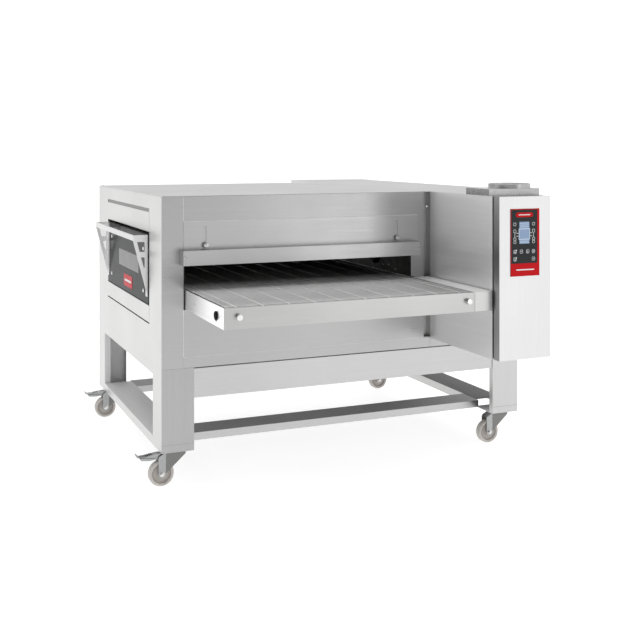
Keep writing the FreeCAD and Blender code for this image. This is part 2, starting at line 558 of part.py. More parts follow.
def build_conveyor():
    bush_spot = f"({BELT_FRONT} + 78)"
    tail = f"({BELT_FRONT} + 3)"
    end = f"({BELT_BACK} - 3)"
    level = ROLLER_LEVEL
    rails = []
    for outer, way in (("belt_left", 1), ("belt_right", -1)):
        wall = between(outer, way, "0", "rail_wall")
        lip = between(outer, way, "0", "18")
        side = block((wall[0], tail, "rail_base"), (wall[1], end, "rail_top"))
        foot = block((lip[0], tail, "rail_base"), (lip[1], end, "rail_base + 1.5"))
        bores = [rod("x", (f"{wall[0]} - 1", y, level), "axle_radius + running_gap", "rail_wall + 2")
                 for y in (FRONT_ROLLER, BACK_ROLLER)]
        if way > 0:
            bores.append(rod("x", (f"{wall[0]} - 1", bush_spot, f"{level} - 4"), "5 + running_gap",
                             "rail_wall + 2"))
        rails.append(cut(fuse(side, foot), *bores))
    node("conveyor_side_rails", *rails)

    # supports lie between the two runs of the belt and hold the rails apart
    supports = []
    count = 7
    for index in range(1, count):
        y = f"({FRONT_ROLLER} + {index} * ({BACK_ROLLER} - {FRONT_ROLLER}) / {count})"
        supports.append(block(("belt_left + rail_wall", f"{y} - 8", f"{level} - 12"),
                              ("belt_right - rail_wall", f"{y} + 8", f"{level} + roller_radius - 0.5")))
    supports.append(fuse(rod("x", ("belt_left - 3", bush_spot, f"{level} - 4"), "13", "3"),
                         rod("x", ("belt_left + rail_wall", bush_spot, f"{level} - 4"), "7",
                             "belt_right - belt_left - 2 * rail_wall"),
                         rod("x", ("belt_left - 3", bush_spot, f"{level} - 4"), "5", "20")))
    node("belt_supports", *supports)

    def loop(radius, low, high):
        """Stadium-shaped solid round both rollers."""
        span = block((low, FRONT_ROLLER, f"{level} - {radius}"), (high, BACK_ROLLER, f"{level} + {radius}"))
        ends = [rod("x", (low, y, level), radius, f"{high} - {low}") for y in (FRONT_ROLLER, BACK_ROLLER)]
        return fuse(span, *ends)

    low, high = "(belt_left + 12)", "(belt_right - 12)"
    node("conveyor_belt", cut(loop("(roller_radius + belt_thick)", low, high),
                              loop("roller_radius", f"({low} - 1)", f"({high} + 1)")))

    for name, y in (("drive_roller", FRONT_ROLLER), ("idler_roller", BACK_ROLLER)):
        drum = rod("x", ("belt_left + 14", y, level), "roller_radius - free_gap",
                   "belt_right - belt_left - 28")
        reach = "belt_right - belt_left + 44" if name == "drive_roller" else "belt_right - belt_left"
        axle = rod("x", ("belt_left", y, level), "axle_radius", reach)
        parts = [drum, axle]
        if name == "drive_roller":
            parts.append(sprocket(15, "belt_right + 22", y, DRIVING["drive_sprocket"]))
        node(name, fuse(*parts))

    for name, way, outer in (("front", -1, BELT_FRONT), ("rear", 1, BELT_BACK)):
        face = between(outer, -way, "0", "3")
        pan_near, pan_far = between(outer, -way, "0", "conveyor_reach - 14")
        floor = "rail_base + 2"
        left, right = "belt_left + 5", "belt_right - 5"
        sheet_metal = block((left, pan_near, floor), (right, pan_far, f"{floor} + 1.5"))
        lips = [block((left, pan_near, floor), (f"{left} + 1.5", pan_far, f"{floor} + 4.5")),
                block((f"{right} - 1.5", pan_near, floor), (right, pan_far, f"{floor} + 4.5"))]
        front_plate = block(("belt_left", face[0], "rail_base"), ("belt_right", face[1], "rail_top"))
        pulls = []
        for x in ("belt_left + pull_inset", "belt_right - pull_inset + 20"):
            start = f"{outer} - knob_long" if way < 0 else outer
            pulls.append(rod("y", (x, start, "pull_level"), "knob_radius", "knob_long"))
        node(f"{name}_crumb_tray", fuse(front_plate, sheet_metal, *lips, *pulls))


def sprocket(teeth, x, y, radius):
    """Chain wheel with rounded-off teeth, 6 mm thick."""
    disc = rod("x", (x, y, ROLLER_LEVEL), f"{radius - 3}", "6")
    tips = []
    for index in range(teeth):
        tip = doc.addObject("Part::Box", "Tooth")
        tip.Length, tip.Width, tip.Height = 4, 3, radius
        turn = Rotation(Vector(1, 0, 0), 360 * index / teeth)
        centre = turn.multVec(Vector(0, -1.5, 0))
        tip.Placement = Placement(Vector(), turn)
        set_base(tip, (f"{x} + 1", f"{y} + ({centre.y:.4f})", f"{ROLLER_LEVEL} + ({centre.z:.4f})"))
        tips.append(tip)
    return fuse(disc, *tips)


def build_drive():
    level = ROLLER_LEVEL
    x = "belt_right + 22"
    shaft_hole = rod("x", (f"{x} - 1", "motor_sprocket_y", level), "5 + running_gap", "12")
    node("motor_sprocket", cut(fuse(sprocket(10, x, "motor_sprocket_y", DRIVING["motor_sprocket"]),
                                    rod("x", (x, "motor_sprocket_y", level), "9", "10")), shaft_hole))
    box = block(("tunnel_width + skin", "motor_sprocket_y - 45", f"{level} - 50"),
                ("tunnel_width + 90", "motor_sprocket_y + 45", f"{level} + 40"))
    can = rod("x", ("tunnel_width + 90", "motor_sprocket_y", level), "36", "90")
    shaft = rod("x", (x, "motor_sprocket_y", level), "5", f"tunnel_width + 9 - ({x})")
    node("gearmotor", fuse(box, can, shaft))

    # chain: two straight runs beside the sprockets, joined round the outside of each
    def stadium(radius, start, wide):
        """Solid from the roller's sprocket to the motor's, rounded at both."""
        span = block((start, FRONT_ROLLER, f"{level} - {radius}"),
                     (f"{start} + {wide}", "motor_sprocket_y", f"{level} + {radius}"))
        ends = [rod("x", (start, y, level), radius, wide) for y in (FRONT_ROLLER, "motor_sprocket_y")]
        return fuse(span, *ends)

    node("drive_chain", cut(stadium("(chain_half + chain_thick)", f"{x} + 1", "4"),
                            stadium("(chain_half - 1)", x, "6")))

    low = ("belt_right + 0.5", BELT_FRONT, "rail_base")
    high = ("drive_cover_right", "-1", "rail_top")
    cover = hollow(low, high, ("belt_right + 2", f"{BELT_FRONT} + 1.5", "rail_base + 1.5"),
                   ("drive_cover_right - 1.5", "0", "rail_top - 1.5"))
    roller_hole = rod("x", ("belt_right - 1", FRONT_ROLLER, level), "axle_radius + 1", "5")
    motor_hole = rod("x", ("drive_cover_right - 5", "motor_sprocket_y", level), "12", "10")
    node("conveyor_drive_cover", cut(cover, roller_hole, motor_hole))


# ---- control cabinet and service bay -------------------------------------------------------

def build_bay():
    """Side compartment for the motors, behind and beside the control cabinet."""
    top = f"{BODY_TOP}"
    shell = hollow(("tunnel_width", "0", "body_base"), (FULL_WIDTH, BAY_BACK, top),
                   ("tunnel_width + skin", "skin", "body_base + skin"),
                   (f"{FULL_WIDTH} - skin", f"{BAY_BACK} - skin", f"{top} - skin"))
    shaft_holes = [rod("x", ("tunnel_width - 5", y, "blower_level"), "shaft_radius + 2", "12")
                   for y in ("blower_front", "blower_back")]
    wire_way = block(("tunnel_width + 30", "-1", "700"), (f"{CABINET_RIGHT} - 30", "skin + 1", "950"))
    gland_hole = rod("y", ("gland_x", f"{BAY_BACK} - 5", "gland_level"), "12.2", "10")
    node("service_bay_shell", cut(shell, *shaft_holes, wire_way, gland_hole))
    gland = [("9", "0"), ("12", "0"), ("12", "2"), ("17", "2"), ("17", "10"), ("13", "12"), ("13", "20"),
             ("9", "20")]
    node("cable_gland", turned("gland_turned", gland, ("gland_x", f"{BAY_BACK} - 2", "gland_level"), "y"))


def build_cabinet():
    left, right = "tunnel_width", CABINET_RIGHT
    front = "(-cabinet_reach)"
    top = f"{BODY_TOP}"
    shell = hollow((left, front, "cabinet_base"), (right, "-0.5", top),
                   (f"{left} + skin", f"{front} + skin", "cabinet_base + skin"),
                   (f"{right} - skin", f"0", f"{top} - skin"))
    neck_low = (f"{left} + 12", f"{front} - 33", "cabinet_base + 12")
    neck_high = (f"{right} - 24", f"{front} + skin", f"{top} - 12")
    neck = block(neck_low, neck_high)
    mouth = block((f"{left} + 14", f"{front} - 34", "cabinet_base + 14"),
                  (f"{right} - 26", f"{front} + skin + 1", f"{top} - 14"))
    motor_hole = rod("x", (f"{left} - 3", "motor_sprocket_y", ROLLER_LEVEL), "12", "8")

    # the door turns on two short pins that ears on the neck carry
    pin_x, pin_y = f"({right} - 6)", "(-door_back - 6)"
    low, high = "(cabinet_base + 2)", f"({top} - 0.5)"
    ears = []
    for ear_low, pin_low, pin_high in ((f"{low} + 10", f"{low} + 0.2", f"{low} + 13"),
                                       (f"{high} - 14", f"{high} - 13", f"{high} - 0.2")):
        ears.append(block((f"{right} - 25", f"{pin_y} - 3", ear_low),
                          (f"{pin_x} + 3", f"{pin_y} + 3", f"{ear_low} + 4")))
        ears.append(rod("z", (pin_x, pin_y, pin_low), "3", f"{pin_high} - ({pin_low})"))
    node("cabinet_shell", fuse(cut(fuse(shell, neck), mouth, motor_hole), *ears))

    tray = hollow((left, "-door_front", low), (right, "-door_back", high),
                  (f"{left} + 1.5", "-door_front + 1.5", f"{low} + 1.5"),
                  (f"{right} - 1.5", "-door_back + 1", f"{high} - 1.5"))
    pin_hole = rod("z", (pin_x, pin_y, f"{low} - 1"), "3 + running_gap", f"{high} - {low} + 2")
    node("control_door", cut(tray, pin_hole))

    board = block((f"{left} + 8", "-board_front", "board_base"), (f"{left} + 10", "-board_back", "board_top"))
    chips = []
    for index in range(3):
        y, z = f"(20 - board_front + {60 * index})", f"(board_base + 20 + {50 * (index % 2)})"
        chips.append(block((f"{left} + 10", y, z), (f"{left} + 28", f"{y} + 30", f"{z} + 35")))
    spacers = [rod("x", (f"{left} + skin", y, z), "3", "6")
               for y in ("10 - board_front", "-board_back - 10")
               for z in ("board_base + 10", "board_top - 10")]
    node("control_board", fuse(board, *chips, *spacers))

    vent_x = f"({right} - vent_radius - 1)"
    vent_y = "(vent_radius + 1 - cover_reach)"
    cover = hollow((left, "-cover_reach", top), (right, f"{vent_y} + vent_radius + 2", f"{top} + cover_high"),
                   (f"{left} + 1.5", "-cover_reach + 1.5", f"{top} - 1"),
                   (f"{right} - 1.5", f"{vent_y} + vent_radius + 0.5", f"{top} + cover_high - 1.5"))
    collar = [("0", "-1"), ("vent_radius", "-1"), ("vent_radius", "vent_high - 1.5"),
              ("vent_radius - 1.5", "vent_high"), ("vent_radius - 3", "vent_high"),
              ("vent_radius - 3", "vent_high - 3"), ("0", "vent_high - 3")]
    node("vent_box", fuse(cover, turned("vent_collar", collar, (vent_x, vent_y, f"{top} + cover_high"), "z")))


KEYS = {
    "timer": ("key_left", "key_upper"), "light": ("key_left + key_pitch", "key_upper"),
    "fan": ("key_left + 2 * key_pitch", "key_upper"), "stop": ("key_right", "key_upper"),
    "power": ("key_left", "key_lower"), "enter": ("key_right", "key_lower"),
}


def build_keypad():
    """Keypad panel on the control door, with a well for each travelling key."""
    face = "(-door_front - pad_thick)"
    pad = block(("pad_left", face, "pad_base"), ("pad_right", "-door_front", "pad_top"))
    wells = []
    for x, z in KEYS.values():
        half = "(keycap / 2 + 0.3)"
        wells.append(block((f"{x} - {half}", f"{face} - 1", f"{z} - {half}"),
                           (f"{x} + {half}", "-door_front + 1", f"{z} + {half}")))
    node("keypad_panel", cut(pad, *wells))
    for name, (x, z) in KEYS.items():
        start = f"{face} - key_travel"
        cap = block((f"{x} - keycap / 2", start, f"{z} - keycap / 2"),
                    (f"{x} + keycap / 2", f"{start} + pad_thick - 0.1", f"{z} + keycap / 2"))
        node(f"key_{name}", cap)


build_stand()
build_casters()
build_casing()
build_shutters()
build_hatch()
build_chamber()
build_blowers()
build_conveyor()
build_drive()
build_bay()
build_cabinet()
build_keypad()
doc.recompute()

for thing in doc.Objects:
    if {"Invalid", "Error"} & set(thing.State):
        raise RuntimeError(f"{thing.Label} did not compute: {thing.State}")
for piece in nodes:
    if piece.Shape.isNull() or not piece.Shape.isValid():
        raise RuntimeError(f"{piece.Label} has no valid shape")

os.makedirs("parts", exist_ok=True)
for piece in nodes:
    piece.Shape.exportStep(os.path.join("parts", piece.Label + ".step"))
print(len(nodes), "nodes written")
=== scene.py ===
"""Looks of the conveyor pizza oven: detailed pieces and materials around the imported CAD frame.

Places are millimetres in the oven's drawing frame, as in the CAD source: X from the left side panel,
Y from the front panel, Z from the floor.  at() turns them into the row frame, in metres.
"""
import json
import math

import bmesh
import bpy
from mathutils import Matrix, Vector


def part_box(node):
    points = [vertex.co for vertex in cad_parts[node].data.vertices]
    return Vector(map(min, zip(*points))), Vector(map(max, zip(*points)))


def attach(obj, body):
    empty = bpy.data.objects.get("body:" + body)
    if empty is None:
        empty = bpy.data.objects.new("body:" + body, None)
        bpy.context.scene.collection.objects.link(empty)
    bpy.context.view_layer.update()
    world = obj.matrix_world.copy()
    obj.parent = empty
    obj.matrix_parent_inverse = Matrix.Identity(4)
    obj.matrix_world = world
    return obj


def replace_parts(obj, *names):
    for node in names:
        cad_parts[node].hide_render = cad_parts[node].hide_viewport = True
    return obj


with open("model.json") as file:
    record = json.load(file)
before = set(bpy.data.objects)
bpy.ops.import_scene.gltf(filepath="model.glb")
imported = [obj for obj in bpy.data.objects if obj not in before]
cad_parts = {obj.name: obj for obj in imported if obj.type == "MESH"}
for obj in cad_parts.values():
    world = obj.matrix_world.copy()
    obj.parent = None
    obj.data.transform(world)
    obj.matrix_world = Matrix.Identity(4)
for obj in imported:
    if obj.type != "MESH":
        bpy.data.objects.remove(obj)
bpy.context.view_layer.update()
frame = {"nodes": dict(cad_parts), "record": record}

MM = 0.001
DRAWING_ZERO = Vector((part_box("top_cover")[0].x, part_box("top_cover")[0].y, 0))
BODY_OF = {node: body for body, nodes in frame["record"]["behaviour"]["bodies"].items() for node in nodes}
SLOT_OF = {part["node"]: part["material_slot"] for part in frame["record"]["subparts"]}


def at(x, y, z):
    """Place in the row frame, in metres, of a place in the drawing, in millimetres."""
    return DRAWING_ZERO + Vector((x, y, z)) * MM


# ---- materials -----------------------------------------------------------------------------

NOISE_RANGE = (0.3, 0.7)


class Shader:
    """A Principled material whose inputs are fed by textures in the object's own space."""

    def __init__(self, name, metallic=0.0, roughness=0.5):
        self.material = bpy.data.materials.new(name)
        self.material.use_nodes = True
        self.tree = self.material.node_tree
        self.surface = self.tree.nodes["Principled BSDF"]
        self.surface.inputs["Metallic"].default_value = metallic
        self.surface.inputs["Roughness"].default_value = roughness
        self.place = self.add("ShaderNodeTexCoord").outputs["Object"]
        self.height = None

    def add(self, kind, **settings):
        node = self.tree.nodes.new(kind)
        for key, value in settings.items():
            setattr(node, key, value)
        return node

    def link(self, start, end):
        self.tree.links.new(start, end)

    def stretched(self, scale):
        mapping = self.add("ShaderNodeMapping")
        mapping.inputs["Scale"].default_value = scale
        self.link(self.place, mapping.inputs["Vector"])
        return mapping.outputs["Vector"]

    def noise(self, scale, detail=3.0, roughness=0.6, stretch=(1, 1, 1)):
        texture = self.add("ShaderNodeTexNoise")
        texture.inputs["Scale"].default_value = scale
        texture.inputs["Detail"].default_value = detail
        texture.inputs["Roughness"].default_value = roughness
        self.link(self.stretched(stretch), texture.inputs["Vector"])
        return texture.outputs["Fac"]

    def remap(self, value, low, high):
        """A noise's usual range, stretched to run from low to high."""
        start, end = NOISE_RANGE
        scale = self.add("ShaderNodeMapRange")
        for name, number in (("From Min", start), ("From Max", end), ("To Min", low), ("To Max", high)):
            scale.inputs[name].default_value = number
        self.link(value, scale.inputs["Value"])
        return scale.outputs["Result"]

    def ramp(self, value, *stops):
        """Colour ramp from (position, colour) stops."""
        ramp = self.add("ShaderNodeValToRGB")
        points = ramp.color_ramp.elements
        for index, (position, colour) in enumerate(stops):
            point = points[index] if index < 2 else points.new(position)
            point.position = position
            point.color = (*colour, 1)
        self.link(value, ramp.inputs["Fac"])
        return ramp.outputs["Color"]

    def colour(self, output):
        self.link(output, self.surface.inputs["Base Color"])

    def roughness(self, output):
        self.link(output, self.surface.inputs["Roughness"])

    def bump(self, value, strength, depth):
        """Adds one layer of relief under the ones already there."""
        bump = self.add("ShaderNodeBump")
        bump.inputs["Strength"].default_value = strength
        bump.inputs["Distance"].default_value = depth
        self.link(value, bump.inputs["Height"])
        if self.height is not None:
            self.link(self.height, bump.inputs["Normal"])
        self.height = bump.outputs["Normal"]
        self.link(self.height, self.surface.inputs["Normal"])


def shade(colour, factor):
    """The colour, made darker or lighter by a factor."""
    return tuple(min(1.0, channel * factor) for channel in colour)


def brushed(name, grain, colour, roughness, depth=1.0, metallic=1.0):
    """Stainless sheet with its grain along one axis, faint smudges and fine scratches."""
    look = Shader(name, metallic=metallic)
    across = tuple(0.035 if axis == grain else 1.0 for axis in "xyz")
    fine = look.noise(620, 4, 0.7, across)
    broad = look.noise(90, 3, 0.6, across)
    smudge = look.noise(3.2, 5, 0.55)
    blend = look.add("ShaderNodeMath", operation="MULTIPLY_ADD")
    look.link(fine, blend.inputs[0])
    blend.inputs[1].default_value = 0.5
    half = look.add("ShaderNodeMath", operation="MULTIPLY")
    look.link(broad, half.inputs[0])
    half.inputs[1].default_value = 0.5
    look.link(half.outputs[0], blend.inputs[2])
    grainy = blend.outputs[0]
    look.colour(look.ramp(grainy, (0.25, shade(colour, 0.93)), (0.75, shade(colour, 1.05))))
    rough = look.add("ShaderNodeMath", operation="ADD")
    look.link(look.remap(grainy, roughness - 0.05, roughness + 0.05), rough.inputs[0])
    look.link(look.remap(smudge, -0.02, 0.05), rough.inputs[1])
    look.roughness(rough.outputs[0])
    look.bump(grainy, 0.12 * depth, 0.00006)
    return look.material


def polished(name, colour, roughness):
    """Smooth bright metal with a faint cloudiness."""
    look = Shader(name, metallic=1.0)
    cloud = look.noise(60, 3)
    look.colour(look.ramp(cloud, (0.2, shade(colour, 0.88)), (0.8, shade(colour, 1.05))))
    look.roughness(look.remap(look.noise(240, 4, 0.7), roughness - 0.04, roughness + 0.08))
    look.bump(look.noise(500, 3), 0.06, 0.0001)
    return look.material


def pale_highlight_wire(name, colour=(0.84, 0.84, 0.83)):
    """Pale, dull wire with random patches; its paleness is a painted highlight along the belt's hook columns.
    """
    look = Shader(name, metallic=0.35)
    look.colour(look.ramp(look.noise(45, 4), (0.3, shade(colour, 0.85)), (0.7, shade(colour, 1.1))))
    look.roughness(look.remap(look.noise(200, 3), 0.45, 0.65))
    look.bump(look.noise(600, 3), 0.1, 0.0001)
    return look.material


def plated(name, colour=(0.38, 0.385, 0.385)):
    """Zinc plate: bright, with a faint spangle and dull patches."""
    look = Shader(name, metallic=1.0)
    spangle = look.add("ShaderNodeTexVoronoi")
    spangle.inputs["Scale"].default_value = 90
    look.link(look.place, spangle.inputs["Vector"])
    dull, bright = shade(colour, 0.93), shade(colour, 1.04)
    look.colour(look.ramp(spangle.outputs["Distance"], (0.0, dull), (0.8, bright)))
    look.roughness(look.remap(look.noise(35, 4), 0.25, 0.42))
    look.bump(look.noise(400, 3), 0.08, 0.0002)
    return look.material


def moulded(name, colour, roughness=0.5, gloss=0.4):
    """Rubber or plastic with a fine moulded grain and slight dirt."""
    look = Shader(name)
    dirt = look.noise(28, 5, 0.6)
    look.colour(look.ramp(dirt, (0.25, shade(colour, 0.82)), (0.7, colour), (0.9, shade(colour, 1.12))))
    look.roughness(look.remap(look.noise(70, 4), roughness - 0.08, roughness + 0.1))
    look.bump(look.noise(900, 3), 0.15, 0.0002)
    look.surface.inputs["Specular IOR Level"].default_value = gloss
    return look.material


def painted(name, colour, roughness=0.45, gloss=0.2):
    """Smooth coat or printed film with a light orange-peel and faint cloudiness."""
    look = Shader(name)
    look.colour(look.ramp(look.noise(9, 4), (0.2, shade(colour, 0.94)), (0.8, shade(colour, 1.03))))
    look.roughness(look.remap(look.noise(40, 3), roughness - 0.05, roughness + 0.07))
    look.bump(look.noise(260, 2), 0.05, 0.0002)
    look.surface.inputs["Specular IOR Level"].default_value = gloss
    return look.material


def scorched(name, colour=(0.10, 0.095, 0.09)):
    """Chamber steel, dulled and browned by heat."""
    look = Shader(name, metallic=0.8)
    stain = look.noise(6, 6, 0.65)
    look.colour(look.ramp(stain, (0.25, shade(colour, 0.5)), (0.6, colour), (0.85, (0.16, 0.13, 0.10))))
    look.roughness(look.remap(look.noise(30, 4), 0.4, 0.65))
    look.bump(look.noise(160, 4), 0.12, 0.0004)
    return look.material


def glass_plate(name, colour=(0.022, 0.023, 0.025)):
    """Dark enamelled glass: faint waviness and wiping marks under a weak clear gloss."""
    look = Shader(name)
    look.colour(look.ramp(look.noise(5, 4), (0.2, shade(colour, 0.85)), (0.8, shade(colour, 1.2))))
    look.roughness(look.remap(look.noise(14, 5), 0.10, 0.25))
    look.bump(look.noise(3, 2), 0.02, 0.002)
    look.surface.inputs["Specular IOR Level"].default_value = 0.01
    look.surface.inputs["Coat Weight"].default_value = 0.10
    look.surface.inputs["Coat Roughness"].default_value = 0.06
    return look.material


def woolly(name):
    """Mineral wool: matt, yellowish and deeply fibrous."""
    look = Shader(name)
    look.colour(look.ramp(look.noise(40, 6, 0.7), (0.3, (0.42, 0.36, 0.22)), (0.7, (0.75, 0.68, 0.48))))
    look.roughness(look.remap(look.noise(90, 4), 0.85, 1.0))
    look.bump(look.noise(220, 6, 0.8), 0.8, 0.002)
    return look.material


# The stainless parts are one brushed steel; the tones set part by part and by facing hold painted light and
# shade, beside the grain's direction.
FRONT_STEEL = brushed("front_steel", "x", (0.42, 0.42, 0.42), 0.31)
VISOR_STEEL = brushed("visor_steel", "x", (0.45, 0.45, 0.45), 0.32)
TOP_STEEL = brushed("top_steel", "x", (0.40, 0.40, 0.40), 0.34)
SIDE_STEEL = brushed("side_steel", "y", (0.60, 0.60, 0.595), 0.36)
CABINET_STEEL = brushed("cabinet_steel", "y", (0.82, 0.82, 0.82), 0.34, 0.5, 0.5)
# Near-white copy of the steel: painted light on the y-facing faces of the door handle.
PAINTED_LIGHT_STEEL = brushed("painted_light_steel", "z", (0.95, 0.95, 0.95), 0.5, 0.5, 0.25)
UPRIGHT_STEEL = brushed("upright_steel", "z", (0.44, 0.44, 0.44), 0.34)
LEG_STEEL = brushed("leg_steel", "z", (0.46, 0.46, 0.46), 0.45, 1.0, 0.6)
# Lighter copy of the leg steel: painted light on the front faces of the right legs.
PAINTED_LIGHT_LEG_STEEL = brushed("painted_light_leg_steel", "z", (0.60, 0.60, 0.60), 0.45, 1.0, 0.6)
# Near-black copy of the bar steel: painted shade and reflection on the right rail tops under the cabinet.
PAINTED_SHADE_BAR_STEEL = brushed("painted_shade_bar_steel", "y", (0.12, 0.12, 0.12), 0.55, 0.5, 0.5)
COVER_STEEL = brushed("cover_steel", "x", (0.51, 0.51, 0.505), 0.30)
BAR_STEEL = brushed("bar_steel", "x", (0.34, 0.34, 0.34), 0.5, 0.5, 0.5)
# Light copy of the bar steel: painted light on the drive cover's tops, the left rail tops and the rear legs'
# front faces.
PAINTED_LIGHT_BAR_STEEL = brushed("painted_light_bar_steel", "y", (0.78, 0.78, 0.78), 0.5, 0.5, 0.2)
RAIL_X_STEEL = brushed("cross_rail_steel", "x", (0.52, 0.52, 0.52), 0.32)
DOOR_STEEL = brushed("door_steel", "z", (0.68, 0.68, 0.68), 0.42)
TRAY_STEEL = brushed("tray_steel", "x", (0.45, 0.45, 0.445), 0.30)
RAIL_STEEL = brushed("rail_steel", "y", (0.97, 0.97, 0.97), 0.36)
HANDLE_STEEL = brushed("handle_steel", "y", (0.58, 0.58, 0.575), 0.30)
# Dark copy of the steel: painted shade inside the left side's slot and along the seams over the feet.
PAINTED_SHADE_STEEL = brushed("painted_shade_steel", "y", (0.30, 0.30, 0.30), 0.6, 0.5, 0.3)
# Pale copy of the steel: painted highlights along seams and edges.
SEAM_HIGHLIGHT_STEEL = brushed("seam_highlight_steel", "z", (0.80, 0.80, 0.80), 0.5, 0.5, 0.4)
# Dark copy of the zinc: painted shade on the gusset side of each caster fork.
PAINTED_SHADE_ZINC = brushed("painted_shade_zinc", "z", (0.20, 0.20, 0.195), 0.35)
COLLAR_STEEL = polished("collar_steel", (0.40, 0.40, 0.40), 0.26)
CHROME = polished("chrome", (0.72, 0.72, 0.72), 0.14)
DULL_CHROME = polished("dull_chrome", (0.50, 0.50, 0.50), 0.25)
ZINC = plated("zinc")
WIRE = polished("belt_wire", (0.56, 0.56, 0.56), 0.45)
HOOK_WIRE = pale_highlight_wire("hook_wire")
CHAMBER = scorched("chamber_steel")
DARK_GLASS = glass_plate("dark_glass")
WINDOW_GLASS = glass_plate("window_glass", (0.25, 0.25, 0.25))
TYRE = moulded("tyre_rubber", (0.62, 0.585, 0.55), 0.62)
HUB = moulded("hub_plastic", (0.50, 0.465, 0.43), 0.45)
WHEEL_RING = moulded("wheel_ring", (0.30, 0.27, 0.245), 0.5)
BLACK_RUBBER = moulded("black_rubber", (0.012, 0.012, 0.012), 0.6, gloss=0.03)
BADGE_RED = painted("badge_red", (0.55, 0.02, 0.03))
LABEL_RED = painted("label_red", (0.50, 0.004, 0.008), 0.5, 0.12)
LABEL_BLACK = painted("label_black", (0.018, 0.021, 0.021), 0.45)
PRINT_WHITE = painted("print_white", (0.72, 0.75, 0.75), 0.5)
LAMP_WHITE = painted("lamp_white", (0.9, 0.92, 0.92), 0.3)
LCD = painted("display_blue", (0.26, 0.35, 0.52), 0.3)
LCD_LIGHT = painted("display_band", (0.52, 0.62, 0.72), 0.3)
WOOL = woolly("mineral_wool")
MOTOR_PAINT = painted("motor_paint", (0.06, 0.065, 0.075), 0.45)
BOARD_GREEN = moulded("board_green", (0.04, 0.16, 0.07), 0.5)

# CAD nodes that the Blender model leaves as they are take the look of their material slot.
BY_SLOT = {
    "brushed_stainless": UPRIGHT_STEEL, "chamber_steel": CHAMBER, "belt_wire": WIRE, "bright_steel": CHROME,
    "zinc_plate": ZINC, "caster_tread": TYRE, "dark_glass": DARK_GLASS, "wool": WOOL,
    "motor_paint": MOTOR_PAINT, "board_plastic": BOARD_GREEN, "gland_plastic": BLACK_RUBBER,
    "keypad_film": LABEL_BLACK,
}


# ---- building ------------------------------------------------------------------------------

SHARP_ANGLE = 32
TUBE_SHARP_ANGLE = 50
BEVEL_ANGLE = 35
FLAT_ANGLE = 1
WELD_DISTANCE = 1e-6
DOME_STEPS = 5
CORNER_STEPS = 5
SMALLEST_BEND = 0.3


def finish_mesh(name, mesh, material, body, sharp=SHARP_ANGLE):
    """Object from a mesh, with its material and smooth shading, riding on a body.

    Three materials go to the faces that look along x, y and z; where they are tones of one steel, that is
    painted light and shade by facing.
    """
    looks = material if isinstance(material, tuple) else (material,)
    for look in looks:
        mesh.materials.append(look)
    if len(looks) == 3:
        for face in mesh.polygons:
            face.material_index = max(range(3), key=lambda axis: abs(face.normal[axis]))
    if sharp:
        mesh.shade_smooth()
        mesh.set_sharp_from_angle(angle=math.radians(sharp))
    piece = bpy.data.objects.new(name, mesh)
    bpy.context.scene.collection.objects.link(piece)
    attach(piece, body)
    return piece


def solid_from(bm, name):
    """Mesh from a bmesh, with its faces turned outwards."""
    bmesh.ops.recalc_face_normals(bm, faces=bm.faces)
    mesh = bpy.data.meshes.new(name)
    bm.to_mesh(mesh)
    bm.free()
    return mesh


def rounded_mesh(mesh, width, segments=2):
    """The mesh with every sharp edge rounded and its flats kept flat in shading."""
    mesh.shade_smooth()
    holder = bpy.data.objects.new("holder", mesh)
    bpy.context.scene.collection.objects.link(holder)
    bevel = holder.modifiers.new("round", "BEVEL")
    bevel.width = width * MM
    bevel.segments = segments
    bevel.limit_method = "ANGLE"
    bevel.angle_limit = math.radians(BEVEL_ANGLE)
    weighted = holder.modifiers.new("flats", "WEIGHTED_NORMAL")
    weighted.weight = 100
    evaluated = holder.evaluated_get(bpy.context.evaluated_depsgraph_get())
    result = bpy.data.meshes.new_from_object(evaluated)
    bpy.data.objects.remove(holder)
    result.materials.clear()
    return result


def dressed(node, material, width):
    """Piece with a CAD node's own shape, its flats merged and its edges rounded."""
    bm = bmesh.new()
    bm.from_mesh(frame["nodes"][node].data)
    bmesh.ops.remove_doubles(bm, verts=bm.verts, dist=WELD_DISTANCE)
    bmesh.ops.dissolve_limit(bm, angle_limit=math.radians(FLAT_ANGLE), verts=bm.verts, edges=bm.edges)
    mesh = rounded_mesh(solid_from(bm, node + "_shape"), width)
    piece = finish_mesh(node + "_look", mesh, material, BODY_OF[node], None)
    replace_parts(piece, node)
    return piece


def add_box(bm, low, high):
    """Adds a box between two opposite corners."""
    corners = [at(x, y, z) for x in (low[0], high[0]) for y in (low[1], high[1]) for z in (low[2], high[2])]
    verts = [bm.verts.new(corner) for corner in corners]
    for face in ((0, 1, 3, 2), (4, 6, 7, 5), (0, 4, 5, 1), (2, 3, 7, 6), (0, 2, 6, 4), (1, 5, 7, 3)):
        bm.faces.new([verts[index] for index in face])


def boxes(name, corners, material, body, width=0.6, segments=2):
    """One piece of separate rounded plates, from pairs of corners."""
    bm = bmesh.new()
    for low, high in corners:
        add_box(bm, low, high)
    mesh = rounded_mesh(solid_from(bm, name), width, segments)
    return finish_mesh(name, mesh, material, body, None)


TURN = {"x": Matrix.Rotation(math.pi / 2, 4, "Y"), "y": Matrix.Rotation(-math.pi / 2, 4, "X"),
        "-y": Matrix.Rotation(math.pi / 2, 4, "X"), "-x": Matrix.Rotation(-math.pi / 2, 4, "Y"),
        "z": Matrix.Identity(4)}


